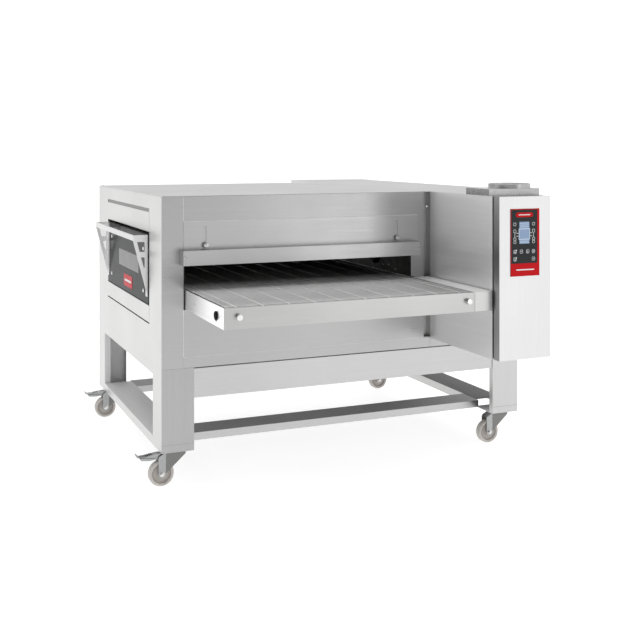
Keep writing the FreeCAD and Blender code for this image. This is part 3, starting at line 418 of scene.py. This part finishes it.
def add_lathe(bm, profile, centre, axis, segments, flute=0.0):
    """Adds a closed solid of revolution.

    The profile is (radius, height) in mm, and a zero radius closes an end.  flute is the share of the
    radius by which every second line of the surface is set back.
    """
    place = Matrix.Translation(at(*centre)) @ TURN[axis]
    rings = []
    for radius, height in profile:
        if radius == 0:
            rings.append([bm.verts.new(place @ Vector((0, 0, height * MM)))])
            continue
        ring = []
        for step in range(segments):
            angle = 2 * math.pi * step / segments
            reach = radius * (1 - flute * (step % 2))
            local = Vector((reach * math.cos(angle), reach * math.sin(angle), height)) * MM
            ring.append(bm.verts.new(place @ local))
        rings.append(ring)
    closed = profile[0][0] > 0 and profile[-1][0] > 0
    pairs = list(zip(rings, rings[1:])) + ([(rings[-1], rings[0])] if closed else [])
    for first, second in pairs:
        for step in range(segments):
            after = (step + 1) % segments
            if len(first) == 1:
                corners = [first[0], second[step], second[after]]
            elif len(second) == 1:
                corners = [first[step], first[after], second[0]]
            else:
                corners = [first[step], first[after], second[after], second[step]]
            bm.faces.new(corners)


def lathes(name, profile, centres, axis, material, body, segments, sharp=SHARP_ANGLE):
    """One piece of equal solids of revolution, one at each centre."""
    bm = bmesh.new()
    for centre in centres:
        add_lathe(bm, profile, centre, axis, segments)
    return finish_mesh(name, solid_from(bm, name), material, body, sharp)


def dome(radius, high):
    """Profile of a low domed head on a short rim."""
    rim = high * 0.35
    angles = [math.pi / 2 * step / DOME_STEPS for step in range(DOME_STEPS)]
    arc = [(radius * math.cos(angle), rim + (high - rim) * math.sin(angle)) for angle in angles]
    return [(0, 0), (radius, 0), *arc, (0, high)]


def screws(name, centres, axis, radius, high, body, material=DULL_CHROME):
    """Plain domed screw heads."""
    return lathes(name, dome(radius, high), centres, axis, material, body, 24)


def tubes(name, paths, radius, sides, material, body):
    """One piece of separate closed round tubes along paths of points in the row frame."""
    verts, faces = [], []
    for path in paths:
        first = len(verts)
        normal = None
        last = len(path) - 1
        for index, point in enumerate(path):
            ahead = (path[min(index + 1, last)] - path[max(index - 1, 0)]).normalized()
            normal = ahead.orthogonal() if normal is None else normal - ahead * normal.dot(ahead)
            normal.normalize()
            side = ahead.cross(normal)
            for step in range(sides):
                angle = 2 * math.pi * step / sides
                verts.append(point + (normal * math.cos(angle) + side * math.sin(angle)) * radius * MM)
        for index in range(last):
            for step in range(sides):
                near = first + index * sides + step
                after = first + index * sides + (step + 1) % sides
                faces.append((near, after, after + sides, near + sides))
        faces.append([first + step for step in reversed(range(sides))])
        faces.append([first + last * sides + step for step in range(sides)])
    mesh = bpy.data.meshes.new(name)
    mesh.from_pydata(verts, [], faces)
    return finish_mesh(name, mesh, material, body, TUBE_SHARP_ANGLE)


def rounded_outline(low_a, high_a, low_z, high_z, radius, low_right=None):
    """Rounded rectangle in a panel's plane, anticlockwise from its lower right corner.

    low_right is that corner's own radius, where it has one.
    """
    points = []
    for a, z, start, bend in ((high_a, low_z, -90, low_right or radius), (high_a, high_z, 0, radius),
                              (low_a, high_z, 90, radius), (low_a, low_z, 180, radius)):
        middle_a = a - bend if a == high_a else a + bend
        middle_z = z - bend if z == high_z else z + bend
        for step in range(CORNER_STEPS):
            angle = math.radians(start + 90 * step / (CORNER_STEPS - 1))
            points.append((middle_a + bend * math.cos(angle), middle_z + bend * math.sin(angle)))
    return points


def outline_ring(a, z, wide, high, radius, stroke):
    """Outer and inner outline of a printed sign."""
    left, right, bottom, top = a - wide / 2, a + wide / 2, z - high / 2, z + high / 2
    outer = rounded_outline(left, right, bottom, top, radius)
    inner = rounded_outline(left + stroke, right - stroke, bottom + stroke, top - stroke,
                            max(radius - stroke, SMALLEST_BEND))
    return outer, inner


def add_plate(bm, near_loop, far_loop):
    """Adds a plate between two equal loops of places in the row frame."""
    near, far = ([bm.verts.new(place) for place in loop] for loop in (near_loop, far_loop))
    bm.faces.new(near)
    bm.faces.new(list(reversed(far)))
    for step in range(len(near)):
        after = (step + 1) % len(near)
        bm.faces.new([near[after], near[step], far[step], far[after]])


def plaques(name, outlines, near, far, plane, material, body):
    """Thin printed plates between two levels of x or y, from outlines in the panel's plane."""
    bm = bmesh.new()
    for points in outlines:
        loops = []
        for level in (near, far):
            loops.append([at(level, a, z) if plane == "x" else at(a, level, z) for a, z in points])
        add_plate(bm, *loops)
    return finish_mesh(name, solid_from(bm, name), material, body)


def ring_plates(name, rings, near, far, material, body):
    """Thin printed rings facing the front, from pairs of outer and inner outlines."""
    bm = bmesh.new()
    for outer, inner in rings:
        loops = []
        for level in (near, far):
            for points in (outer, inner):
                loops.append([bm.verts.new(at(a, level, z)) for a, z in points])
        for step in range(len(outer)):
            after = (step + 1) % len(outer)
            for first, second in ((0, 1), (1, 3), (3, 2), (2, 0)):
                bm.faces.new([loops[first][step], loops[first][after],
                              loops[second][after], loops[second][step]])
    return finish_mesh(name, solid_from(bm, name), material, body)


# ---- sheet-metal nodes that keep their CAD shape --------------------------------------------

# Tones by facing along x, y and z: painted light and shade on one steel.
PANEL_STEELS = (SIDE_STEEL, FRONT_STEEL, TOP_STEEL)
STAND_STEELS = (SIDE_STEEL, LEG_STEEL, TOP_STEEL)
COVER_STEELS = (SIDE_STEEL, COVER_STEEL, PAINTED_LIGHT_BAR_STEEL)
BAR_STEELS = (SIDE_STEEL, RAIL_X_STEEL, BAR_STEEL)
RAIL_STEELS = (SIDE_STEEL, RAIL_X_STEEL, TOP_STEEL)
BAY_STEELS = (SIDE_STEEL, UPRIGHT_STEEL, TOP_STEEL)
CABINET_STEELS = (CABINET_STEEL, UPRIGHT_STEEL, TOP_STEEL)
DOOR_STEELS = (UPRIGHT_STEEL, DOOR_STEEL, TOP_STEEL)
HANDLE_STEELS = (HANDLE_STEEL, PAINTED_LIGHT_STEEL, HANDLE_STEEL)

LOOKS = {
    "base_pan": (PANEL_STEELS, 0.7), "top_cover": (PANEL_STEELS, 0.7), "left_side_panel": (PANEL_STEELS, 0.7),
    "front_panel": (PANEL_STEELS, 0.7), "rear_panel": (PANEL_STEELS, 0.7),
    "front_shutter": (VISOR_STEEL, 0.6), "rear_shutter": (VISOR_STEEL, 0.6),
    "service_bay_shell": (BAY_STEELS, 0.7), "cabinet_shell": (CABINET_STEELS, 0.6),
    "control_door": (DOOR_STEELS, 0.6), "upper_frame": (RAIL_STEELS, 0.8),
    "lower_frame": (BAR_STEELS, 0.9), "stand_legs": (STAND_STEELS, 0.9),
    "conveyor_side_rails": (RAIL_STEEL, 0.6), "front_crumb_tray": (TRAY_STEEL, 0.7),
    "rear_crumb_tray": (TRAY_STEEL, 0.7), "conveyor_drive_cover": (COVER_STEELS, 0.7),
    "inspection_door": (DULL_CHROME, 0.7), "door_handle": (HANDLE_STEELS, 0.6),
    "caster_plates": (ZINC, 0.8), "brake_pedal_front_left": (ZINC, 0.5), "brake_pedal_rear_left": (ZINC, 0.5),
    "vent_box": (COLLAR_STEEL, 0.6), "keypad_panel": (LABEL_BLACK, 0.35),
}
for corner in ("front_left", "rear_left", "front_right", "rear_right"):
    LOOKS["caster_fork_" + corner] = (ZINC, 0.8)

# Where the painted light and shade on the lower rails, the legs and the caster forks begin, in drawing
# millimetres
LEFT_RAIL_END, RIGHT_RAIL_START = 116, 1340
REAR_LEGS_START, RIGHT_LEGS_START = 900, 1300
FORK_SHADE_START = {"front_left": 27, "rear_left": 27, "front_right": 1368, "rear_right": 1368}
FACES_AXIS = 0.5


def repaint(piece, material, chosen):
    """Gives one more material to the faces whose middle passes a test, in drawing millimetres."""
    piece.data.materials.append(material)
    last = len(piece.data.materials) - 1
    for face in piece.data.polygons:
        middle = (piece.matrix_world @ face.center - DRAWING_ZERO) / MM
        if chosen(middle, face.normal):
            face.material_index = last


DRESSED = {node: dressed(node, material, width) for node, (material, width) in LOOKS.items()}
# Painted light on the tops of the left lower rail.
repaint(DRESSED["lower_frame"], PAINTED_LIGHT_BAR_STEEL,
        lambda spot, normal: spot.x < LEFT_RAIL_END and normal.z > FACES_AXIS)
# Painted shade on the tops of the right lower rail.
repaint(DRESSED["lower_frame"], PAINTED_SHADE_BAR_STEEL,
        lambda spot, normal: spot.x > RIGHT_RAIL_START and normal.z > FACES_AXIS)
# Painted light on the front faces of the rear legs, which stand in the shade under the oven.
repaint(DRESSED["stand_legs"], PAINTED_LIGHT_BAR_STEEL,
        lambda spot, normal: spot.y > REAR_LEGS_START and normal.y < -FACES_AXIS)
# Painted light on the front faces of the right legs.
repaint(DRESSED["stand_legs"], PAINTED_LIGHT_LEG_STEEL,
        lambda spot, normal: spot.x > RIGHT_LEGS_START and normal.y < -FACES_AXIS)
# Painted shade on the gusset side of each caster fork.
for corner, shade_start in FORK_SHADE_START.items():
    repaint(DRESSED["caster_fork_" + corner], PAINTED_SHADE_ZINC,
            lambda spot, normal, start=shade_start: spot.x > start and abs(normal.y) > FACES_AXIS)
for node, piece in frame["nodes"].items():
    if node not in LOOKS:
        piece.data.materials.clear()
        piece.data.materials.append(BY_SLOT[SLOT_OF[node]])


# ---- conveyor -------------------------------------------------------------------------------

BELT_LEFT, BELT_RIGHT = 95, 969
BELT_MIDDLE = (BELT_LEFT + BELT_RIGHT) / 2
FRONT_ROLLER, BACK_ROLLER, ROLLER_LEVEL = -412, 1527, 662
LOOP_RADIUS = 27.5
WIRE_RADIUS = 0.9
WIRE_COUNT = 405
HOOK_COLUMNS = 10
HOOK_STEP = 89.4
HOOK_LIFT, EDGE_LIFT = 0.7, 0.3
RAIL_FACE = 83
BUSH_PLACES = [(RAIL_FACE, y, 658) for y in (-368, 1483)]
OVEN = BODY_OF["top_cover"]


def on_loop(distance, lift):
    """Place on the belt's path: (y, z) in mm, a distance along it and lifted off its middle line."""
    straight = BACK_ROLLER - FRONT_ROLLER
    bend = math.pi * LOOP_RADIUS
    distance %= 2 * (straight + bend)
    radius = LOOP_RADIUS + lift
    if distance < straight:
        return FRONT_ROLLER + distance, ROLLER_LEVEL + radius
    if distance < straight + bend:
        angle = (distance - straight) / LOOP_RADIUS
        return BACK_ROLLER + radius * math.sin(angle), ROLLER_LEVEL + radius * math.cos(angle)
    if distance < 2 * straight + bend:
        return BACK_ROLLER - (distance - straight - bend), ROLLER_LEVEL - radius
    angle = (distance - 2 * straight - bend) / LOOP_RADIUS
    return FRONT_ROLLER - radius * math.sin(angle), ROLLER_LEVEL - radius * math.cos(angle)


def belt_wires():
    """Flat-flex belt: straight cross wires, hooked to the next one at ten columns and at both edges."""
    pitch = 2 * (BACK_ROLLER - FRONT_ROLLER + math.pi * LOOP_RADIUS) / WIRE_COUNT
    half = HOOK_COLUMNS // 2
    columns = [BELT_MIDDLE + (column + 0.5) * HOOK_STEP for column in range(-half, half)]
    wires, hooks = [], []
    for wire in range(WIRE_COUNT):
        start = wire * pitch
        wires.append([at(x, *on_loop(start, 0)) for x in (BELT_LEFT + 1, BELT_MIDDLE, BELT_RIGHT - 1)])
        for middle in columns:
            turn = [(-2.2, -0.8), (-2.2, pitch + 0.6), (2.2, pitch + 0.6), (2.2, -0.8)]
            hooks.append([at(middle + aside, *on_loop(start + ahead, HOOK_LIFT)) for aside, ahead in turn])
        for edge, way in ((BELT_LEFT, 1), (BELT_RIGHT, -1)):
            turn = [(3, -0.5), (1.2, pitch * 0.3), (1.2, pitch * 0.7), (3, pitch + 0.5), (8, pitch + 0.5)]
            hooks.append([at(edge + way * aside, *on_loop(start + ahead, EDGE_LIFT))
                          for aside, ahead in turn])
    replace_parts(tubes("belt_cross_wires", wires, WIRE_RADIUS, 6, WIRE, OVEN), "conveyor_belt")
    # The hooks take the pale wire: painted highlight along the hook columns.
    tubes("belt_hooks", hooks, WIRE_RADIUS * 0.85, 5, HOOK_WIRE, OVEN)


def conveyor_details():
    """Fold strips, bushes, a black plate of painted shade for a slot, and screws on the conveyor's left rail.
    """
    folds = [((82.3, start, 624.5), (83.2, end, 637)) for start, end in ((-438, -1.5), (1117, 1553))]
    boxes("rail_fold_left", folds, RAIL_STEEL, OVEN, 0.35)
    bush = [(4.2, -0.6), (14, -0.6), (14, 4.4), (13, 5.2), (5.2, 5.2), (4.2, 4.4)]
    lathes("rail_bushes", bush, BUSH_PLACES, "-x", BLACK_RUBBER, OVEN, 32)
    pin = [(0, -0.5), (4.1, -0.5), (4.1, 2.0), (3.6, 2.6), (0, 2.6)]
    lathes("bush_pins", pin, BUSH_PLACES, "-x", BLACK_RUBBER, OVEN, 24)
    # Thin black plate: painted shade where the rail has a slot.
    slot = ((82.7, -372, 640), (83.1, -356, 643.5))
    boxes("rail_slot_shades", [slot], BLACK_RUBBER, OVEN, 0.1, 1)
    places = [(RAIL_FACE, y, z) for y, z in ((-395, 657), (-120, 657), (1500, 675))]
    screws("rail_screws", places, "-x", 4, 2.2, OVEN)


# ---- body panels ----------------------------------------------------------------------------

# What the front and the rear end have alike: the way out, and the drawing Y of each face
OUTWARD = {"front": "-y", "rear": "y"}
VISOR_FACE = {"front": -50, "rear": 1165}
SLOT_BACK = {"front": -0.8, "rear": 1115.3}
KNOB_FACE = {"front": -3.3, "rear": 1118.3}
END_PLATE = {"front": -446, "rear": 1561}

STUD_X = {"left": 155, "right": 910}
STUD_LEVEL = 845
PULL_X = (130, 954)
PULL_LEVEL = 662
FOOT_LEFT_EDGES = (0.3, 1340.7)
FOOT_WIDTH = 116


def side_panels():
    """Raised panels of the left side, and a dark plate of painted shade behind the slot over them."""
    panels = [((-0.6, 179, bottom), (0.2, 917, top)) for bottom, top in ((884, 952.5), (556, 613))]
    boxes("side_centre_panels", panels, SIDE_STEEL, OVEN, 0.4)
    # Dark plate: painted shade seen through the slot.
    backing = ((2.2, 172, 948), (3.0, 924, 973))
    boxes("side_slot_shade", [backing], PAINTED_SHADE_STEEL, OVEN, 0.2, 1)


def seam_strips():
    """Painted highlights along the seams of the front panel and the front shutter's top edge, and painted
    shadow lines along the seams over the feet.
    """
    column_seams = [((77.4, -0.5, bottom), (78.6, 0.4, top)) for bottom, top in ((458, 622), (782, 1010))]
    shutter_edge = ((79, -3.6, 928.4), (1000, -0.4, 929.6))
    panel_edge = ((78, -0.5, 455.4), (1028, 0.4, 456.4))
    seams = [*column_seams, shutter_edge, panel_edge]
    # Pale strips: painted highlights on the seams and edges of the front.
    boxes("front_seam_highlights", seams, SEAM_HIGHLIGHT_STEEL, OVEN, 0.2, 1)
    # Dark strips: painted shadow lines along the seams over the feet.
    foot_seam_shadows = [((x, -0.3, 154.6), (x + FOOT_WIDTH, 0.3, 155.6)) for x in FOOT_LEFT_EDGES]
    boxes("foot_seam_shadows", foot_seam_shadows, PAINTED_SHADE_STEEL, OVEN, 0.1, 1)


def shutter_details():
    """Screws of both visors, and the plates seen through the slots of the raised shutters."""
    for side, axis in OUTWARD.items():
        heads = [(x, VISOR_FACE[side], 812) for x in (72, 980)]
        screws(side + "_visor_screws", heads, axis, 4.5, 2.4, BODY_OF[side + "_shutter"])
        near = SLOT_BACK[side]
        backs = [((x - 5, near, 852), (x + 5, near + 0.5, 906)) for x in STUD_X.values()]
        boxes(side + "_slot_backs", backs, VISOR_STEEL, OVEN, 0.1, 1)


def body_screws():
    """Latch of the recess, screws of the roof and the service bay, and bolts of the chamber liner."""
    screws("recess_latch", [(1042, -1, 960)], "-y", 5, 3, OVEN, CHROME)
    screws("top_screws", [(x, y, 1018) for x in (14, 1040) for y in (18, 1097)], "z", 4.5, 2, OVEN)
    bay_places = [(1457, y, z) for y in (24, 380, 736, 1092, 1439) for z in (442, 994)]
    screws("bay_screws", bay_places, "x", 4.5, 2, OVEN)
    bolt_places = [(986.6, y, z) for y, z in ((150, 704), (205, 716), (255, 711))]
    screws("liner_bolts", bolt_places, "-x", 6, 4, OVEN, CHROME)


def knurled_knobs():
    """Clamp knobs of both shutters: a washer and a fluted grip with a low domed end."""
    washer = [(0, 0), (11, 0), (11, 1.2), (7, 1.2), (7, 3.2), (0, 3.2)]
    grip = [(0, 3), (9.6, 3), (10, 4), (10, 12), (9, 14), (5, 14.4), (0, 14.5)]
    for side, axis in OUTWARD.items():
        for hand, x in STUD_X.items():
            node = f"{side}_knob_{hand}"
            centre = (x, KNOB_FACE[side], STUD_LEVEL)
            bm = bmesh.new()
            add_lathe(bm, washer, centre, axis, 40)
            add_lathe(bm, grip, centre, axis, 48, flute=0.06)
            mesh = solid_from(bm, node)
            piece = finish_mesh(node + "_grip", mesh, DULL_CHROME, BODY_OF[node], 25)
            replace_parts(piece, node)


def tray_knobs():
    """Pull knobs on the end plates of both crumb trays."""
    knob = [(0, -0.4), (8.5, -0.4), (8.5, 2), (10.2, 3), (10.2, 14), (9.2, 15.2), (7, 15.4), (0, 15.4)]
    for side, axis in OUTWARD.items():
        places = [(x, END_PLATE[side], PULL_LEVEL) for x in PULL_X]
        body = BODY_OF[side + "_crumb_tray"]
        lathes(side + "_pull_knobs", knob, places, axis, CHROME, body, 40, 25)


# ---- inspection door ------------------------------------------------------------------------

GLASS_FACE = -1.6


def door_details():
    """Glass of the inspection door, with its window, its plain red badge and its four screws."""
    body = BODY_OF["door_glass"]
    dressed("door_glass", DARK_GLASS, 0.6)
    window = ((-1.9, 340, 714), (-1.3, 688, 778))
    boxes("door_window", [window], WINDOW_GLASS, body, 0.25)
    plaques("door_badge", [rounded_outline(447, 593, 640, 687, 7)], -2.6, -1.4, "x", BADGE_RED, body)
    plaques("badge_stripe", [rounded_outline(465, 575, 660, 668, 3)], -2.9, -2.5, "x", PRINT_WHITE, body)
    places = [(GLASS_FACE, y, z) for y in (260, 827) for z in (660, 815)]
    heads = screws("door_screw_heads", places, "-x", 7, 3.4, body, CHROME)
    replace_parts(heads, "door_screws")


# ---- keypad ---------------------------------------------------------------------------------

PAD_FACE = -482.5
KEY_FACE = -483
UPPER_KEYS, LOWER_KEYS = 827, 801
KEYS = (("timer", 1119, UPPER_KEYS, "lamp"), ("light", 1145, UPPER_KEYS, "bar"),
        ("fan", 1171, UPPER_KEYS, "corner"), ("stop", 1195, UPPER_KEYS, "ring"),
        ("power", 1119, LOWER_KEYS, "lamp"), ("enter", 1195, LOWER_KEYS, "bar"))
SYMBOL_X = (1118.5, 1195.5)
SYMBOL_LEVELS = ((922, 11), (898, 12), (871, 10), (860, 9))
# Left, right, bottom and top of each stroke of a key's sign, from the key's middle
SIGNS = {"bar": [(-3, 3, -0.7, 0.7)], "corner": [(-2.6, -1.2, -3, 3), (-2, 2.6, -3, -1.6)],
         "lamp": [(-3, 3, -3, -1), (-1, 1, -1, 3)], "ring": []}


def film(name, outlines, rise, base, material):
    """Printed plates on the keypad, from a base level up to a rise over its face."""
    plaques(name, outlines, PAD_FACE - rise, PAD_FACE - base, "y", material, BODY_OF["keypad_panel"])


def film_rings(name, rings, rise, material):
    """Printed rings on the keypad, sunk a little into its face."""
    ring_plates(name, rings, PAD_FACE - rise, PAD_FACE + 0.1, material, BODY_OF["keypad_panel"])


def keypad_details():
    """Printed film of the keypad: red border, plain stripes, display and outlined symbols."""
    border = (rounded_outline(1101.2, 1219.8, 742.2, 974.8, 1.5, low_right=8),
              rounded_outline(1103.6, 1211, 786, 972, 1.5))
    film_rings("pad_border", [border], 0.2, LABEL_RED)
    film("pad_band", [rounded_outline(1123, 1193, 946, 962, 7)], 0.25, -0.1, LABEL_RED)
    bars = [rounded_outline(1134, 1182, 952.5, 955.5, 1.4), rounded_outline(1124, 1198, 762, 766, 1.9)]
    film("pad_stripes", bars, 0.4, 0.1, PRINT_WHITE)
    film("display", [rounded_outline(1137, 1178, 854, 930, 1)], 0.25, -0.1, LCD)
    surround = (rounded_outline(1134.5, 1180.5, 868, 907, 1), rounded_outline(1137, 1178, 871, 904, 0.6))
    film_rings("display_frame", [surround], 0.4, LCD_LIGHT)
    lines = [rounded_outline(1139, 1176, z, z + 1.6, 0.5) for z in (912, 918, 924, 862, 858)]
    film("display_lines", lines, 0.35, 0.1, LCD_LIGHT)
    symbols = [outline_ring(x, z, 10.5, high, 2.8, 1.3) for x in SYMBOL_X for z, high in SYMBOL_LEVELS]
    film_rings("pad_symbols", symbols, 0.15, PRINT_WHITE)
    links = [rounded_outline(low, low + 9, z, z + 1.6, 0.5) for low in (1125, 1181) for z in (890, 880)]
    stems = [rounded_outline(x - 0.8, x + 0.8, 876.5, 891.5, 0.5) for x in SYMBOL_X]
    film("pad_links", links + stems, 0.15, -0.1, PRINT_WHITE)
    for key, x, z, mark in KEYS:
        key_marks(key, x, z, mark)


def key_marks(key, x, z, mark):
    """Cap of one key with its printed outline and a generic sign."""
    node = "key_" + key
    body = BODY_OF[node]
    near, far = KEY_FACE - 0.12, KEY_FACE + 0.05
    dressed(node, LABEL_BLACK, 0.3)
    rings = [outline_ring(x, z, 12, 12, 3, 1.2)]
    if mark == "ring":
        rings.append(outline_ring(x, z, 6, 6, 2.9, 1.1))
    ring_plates(node + "_outline", rings, near, far, PRINT_WHITE, body)
    strokes = [rounded_outline(x + left, x + right, z + bottom, z + top, 0.5)
               for left, right, bottom, top in SIGNS[mark]]
    if strokes:
        plaques(node + "_sign", strokes, near, far, "y", PRINT_WHITE, body)
    if mark == "lamp":
        place = (x + 5, KEY_FACE + 0.1, z + 5)
        lathes(node + "_lamp", dome(2.2, 1.0), [place], "-y", LAMP_WHITE, body, 20)


# ---- casters --------------------------------------------------------------------------------

AXLE_LEVEL = 45
AXLE_PLACE = {f"{end}_{hand}": (x, y, AXLE_LEVEL) for hand, x in (("left", 13.25), ("right", 1353.75))
              for end, y in (("front", 62.5), ("rear", 1052.5))}
CHEEK_REACH = 20


def mirrored(half):
    """A wheel's profile from its near half: the same points again on the far side, in reverse."""
    return half + [(radius, -height) for radius, height in reversed(half)]


def caster_details():
    """Tyre, hub and seal ring of each wheel, and the washer, nut and bolt end on both ends of its axle."""
    tyre = mirrored([(33, -11.5), (36, -14), (40, -15), (43.5, -12.5), (45, -8)])
    hub = mirrored([(5.2, -15), (11, -15), (12.5, -13), (13, -9), (27, -8), (30, -9.5), (31, -12.5),
                    (33.2, -12.5)])
    seal = [(31.2, -12.9), (33.4, -12.9), (33.4, 12.9), (31.2, 12.9)]
    washer = [(0, -0.2), (9, -0.2), (9, 1.0), (0, 1.0)]
    nut = [(0, 1), (6.6, 1), (7.4, 1.6), (7.4, 5.5), (6.6, 6.2), (0, 6.2)]
    bolt_end = [(0, 6), (4, 6), (4, 7.6), (3.2, 8.2), (0, 8.2)]
    for corner, (x, y, z) in AXLE_PLACE.items():
        node = "caster_wheel_" + corner
        body = BODY_OF[node]
        centre = (x, y, z)
        rim = lathes(node + "_tyre", tyre, [centre], "y", TYRE, body, 64)
        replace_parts(rim, node)
        lathes(node + "_hub", hub, [centre], "y", HUB, body, 64)
        lathes(node + "_seal", seal, [centre], "y", WHEEL_RING, body, 64)
        bm = bmesh.new()
        for axis, face in (("-y", y - CHEEK_REACH), ("y", y + CHEEK_REACH)):
            add_lathe(bm, washer, (x, face, z), axis, 32)
            add_lathe(bm, nut, (x, face, z), axis, 6)
            add_lathe(bm, bolt_end, (x, face, z), axis, 20)
        fork = BODY_OF["caster_fork_" + corner]
        finish_mesh(f"caster_{corner}_axle_nuts", solid_from(bm, "axle_nuts"), CHROME, fork)


PEDAL_HALF_WIDTH, SKIRT_INSIDE = 13, 11.6
TREAD_BEND, TREAD_SLOPE = -34, 0.14


def extruded_y(bm, points, near, far):
    """Adds a plate with an outline in x and z, between two levels of y."""
    add_plate(bm, *([at(x, y, z) for x, z in points] for y in (near, far)))


def brake_pedals():
    """Pressed foot pedals: a tread with a turned-up tip between two deep skirts, with a rubber grip."""
    tread = [(-76.5, 118.8), (-62, 108.6), (-34, 112.6), (-4, 117.2), (10, 117.2), (10, 115.2), (-4, 115.2),
             (-34, 110.6), (-62, 106.4), (-76.9, 117)]
    skirt = [(-66, 110), (-34, 112), (-4, 116), (10, 116), (11, 101), (0, 97.5), (-30, 94.5), (-58, 97),
             (-63, 102)]
    for corner in ("front_left", "rear_left"):
        node = "brake_pedal_" + corner
        y = AXLE_PLACE[corner][1]
        bm = bmesh.new()
        extruded_y(bm, tread, y - PEDAL_HALF_WIDTH, y + PEDAL_HALF_WIDTH)
        for side in (-1, 1):
            extruded_y(bm, skirt, y + side * PEDAL_HALF_WIDTH, y + side * SKIRT_INSIDE)
        mesh = rounded_mesh(solid_from(bm, node), 0.5)
        finish_mesh(node + "_channel", mesh, ZINC, BODY_OF[node], None)
        ribs = []
        for x in (-42, -36, -30, -24):
            rise = (x - TREAD_BEND) * TREAD_SLOPE
            ribs.append(((x, y - 10, 112.2 + rise), (x + 2.2, y + 10, 114.2 + rise)))
        boxes(node + "_grip", ribs, BLACK_RUBBER, BODY_OF[node], 0.4, 2)


belt_wires()
brake_pedals()
conveyor_details()
side_panels()
seam_strips()
shutter_details()
body_screws()
knurled_knobs()
tray_knobs()
door_details()
keypad_details()
caster_details()


# ---- studio --------------------------------------------------------------------------------

FLOOR_REACH = 30
FLOOR_GLOW = 0.80
CAMERA_PLACE = (-867.0, -3415.7, 1185.5)
CAMERA_TURN = -23.167
CAMERA_LENS = 56.77
CAMERA_SHIFT = -0.2689


def area_light(name, place, target, size, power):
    """White rectangular light at a place, in metres, turned to a target."""
    data = bpy.data.lights.new(name, "AREA")
    data.shape = "RECTANGLE"
    data.size, data.size_y = size
    data.energy = power
    light = bpy.data.objects.new(name, data)
    bpy.context.scene.collection.objects.link(light)
    light.location = place
    light.rotation_euler = (Vector(target) - Vector(place)).to_track_quat("-Z", "Y").to_euler()


def studio():
    """Pale floor that also glows, a sky greyer on the front left than elsewhere, and two soft lights."""
    bm = bmesh.new()
    bmesh.ops.create_grid(bm, x_segments=1, y_segments=1, size=FLOOR_REACH)
    mesh = bpy.data.meshes.new("floor")
    bm.to_mesh(mesh)
    bm.free()
    floor_look = Shader("floor_white", roughness=0.7)
    cloud = floor_look.noise(2, 3)
    floor_look.colour(floor_look.ramp(cloud, (0.3, (0.39, 0.39, 0.39)), (0.7, (0.41, 0.41, 0.41))))
    floor_look.surface.inputs["Emission Color"].default_value = (1, 1, 1, 1)
    floor_look.surface.inputs["Emission Strength"].default_value = FLOOR_GLOW
    mesh.materials.append(floor_look.material)
    floor = bpy.data.objects.new("floor", mesh)
    bpy.context.scene.collection.objects.link(floor)

    world = bpy.data.worlds.new("studio")
    world.use_nodes = True
    tree = world.node_tree
    background = tree.nodes["Background"]
    direction = tree.nodes.new("ShaderNodeTexCoord").outputs["Generated"]
    split = tree.nodes.new("ShaderNodeSeparateXYZ")
    tree.links.new(direction, split.inputs[0])

    def fade(axis, start, end, low, high):
        """Tone that goes from low to high along one axis; either may be another fade."""
        step = tree.nodes.new("ShaderNodeMapRange")
        step.interpolation_type = "SMOOTHSTEP"
        for name, number in (("From Min", start), ("From Max", end)):
            step.inputs[name].default_value = number
        tree.links.new(split.outputs[axis], step.inputs["Value"])
        mix = tree.nodes.new("ShaderNodeMix")
        mix.data_type = "RGBA"
        tree.links.new(step.outputs["Result"], mix.inputs["Factor"])
        for name, tone in (("A", low), ("B", high)):
            if isinstance(tone, float):
                mix.inputs[name].default_value = (tone, tone, tone, 1)
            else:
                tree.links.new(tone, mix.inputs[name])
        return mix.outputs["Result"]

    front = fade("X", 0.15, 0.60, 0.30, 1.15)
    around = fade("Y", -0.25, 0.35, front, 1.05)
    tree.links.new(fade("Z", 0.35, 0.85, around, 1.1), background.inputs["Color"])
    bpy.context.scene.world = world

    area_light("front_strip", (2.13, -5.0, 1.3), (0.05, -0.55, 0.9), (0.9, 2.6), 9)
    area_light("overhead", (0.0, 0.0, 4.2), (0.0, 0.0, 0.5), (5.0, 5.0), 30)


def photo_camera():
    """Camera of a level view from the front left, with its horizon above the frame's middle."""
    data = bpy.data.cameras.new("photo_camera")
    camera = bpy.data.objects.new("photo_camera", data)
    bpy.context.scene.collection.objects.link(camera)
    camera.location = at(*CAMERA_PLACE)
    camera.rotation_euler = (math.radians(90), 0, math.radians(CAMERA_TURN))
    data.sensor_width = 36
    data.lens = CAMERA_LENS
    data.shift_y = CAMERA_SHIFT
    data.clip_end = 200
    bpy.context.scene.camera = camera


photo_camera()
studio()
bpy.context.scene.view_settings.view_transform = "Standard"
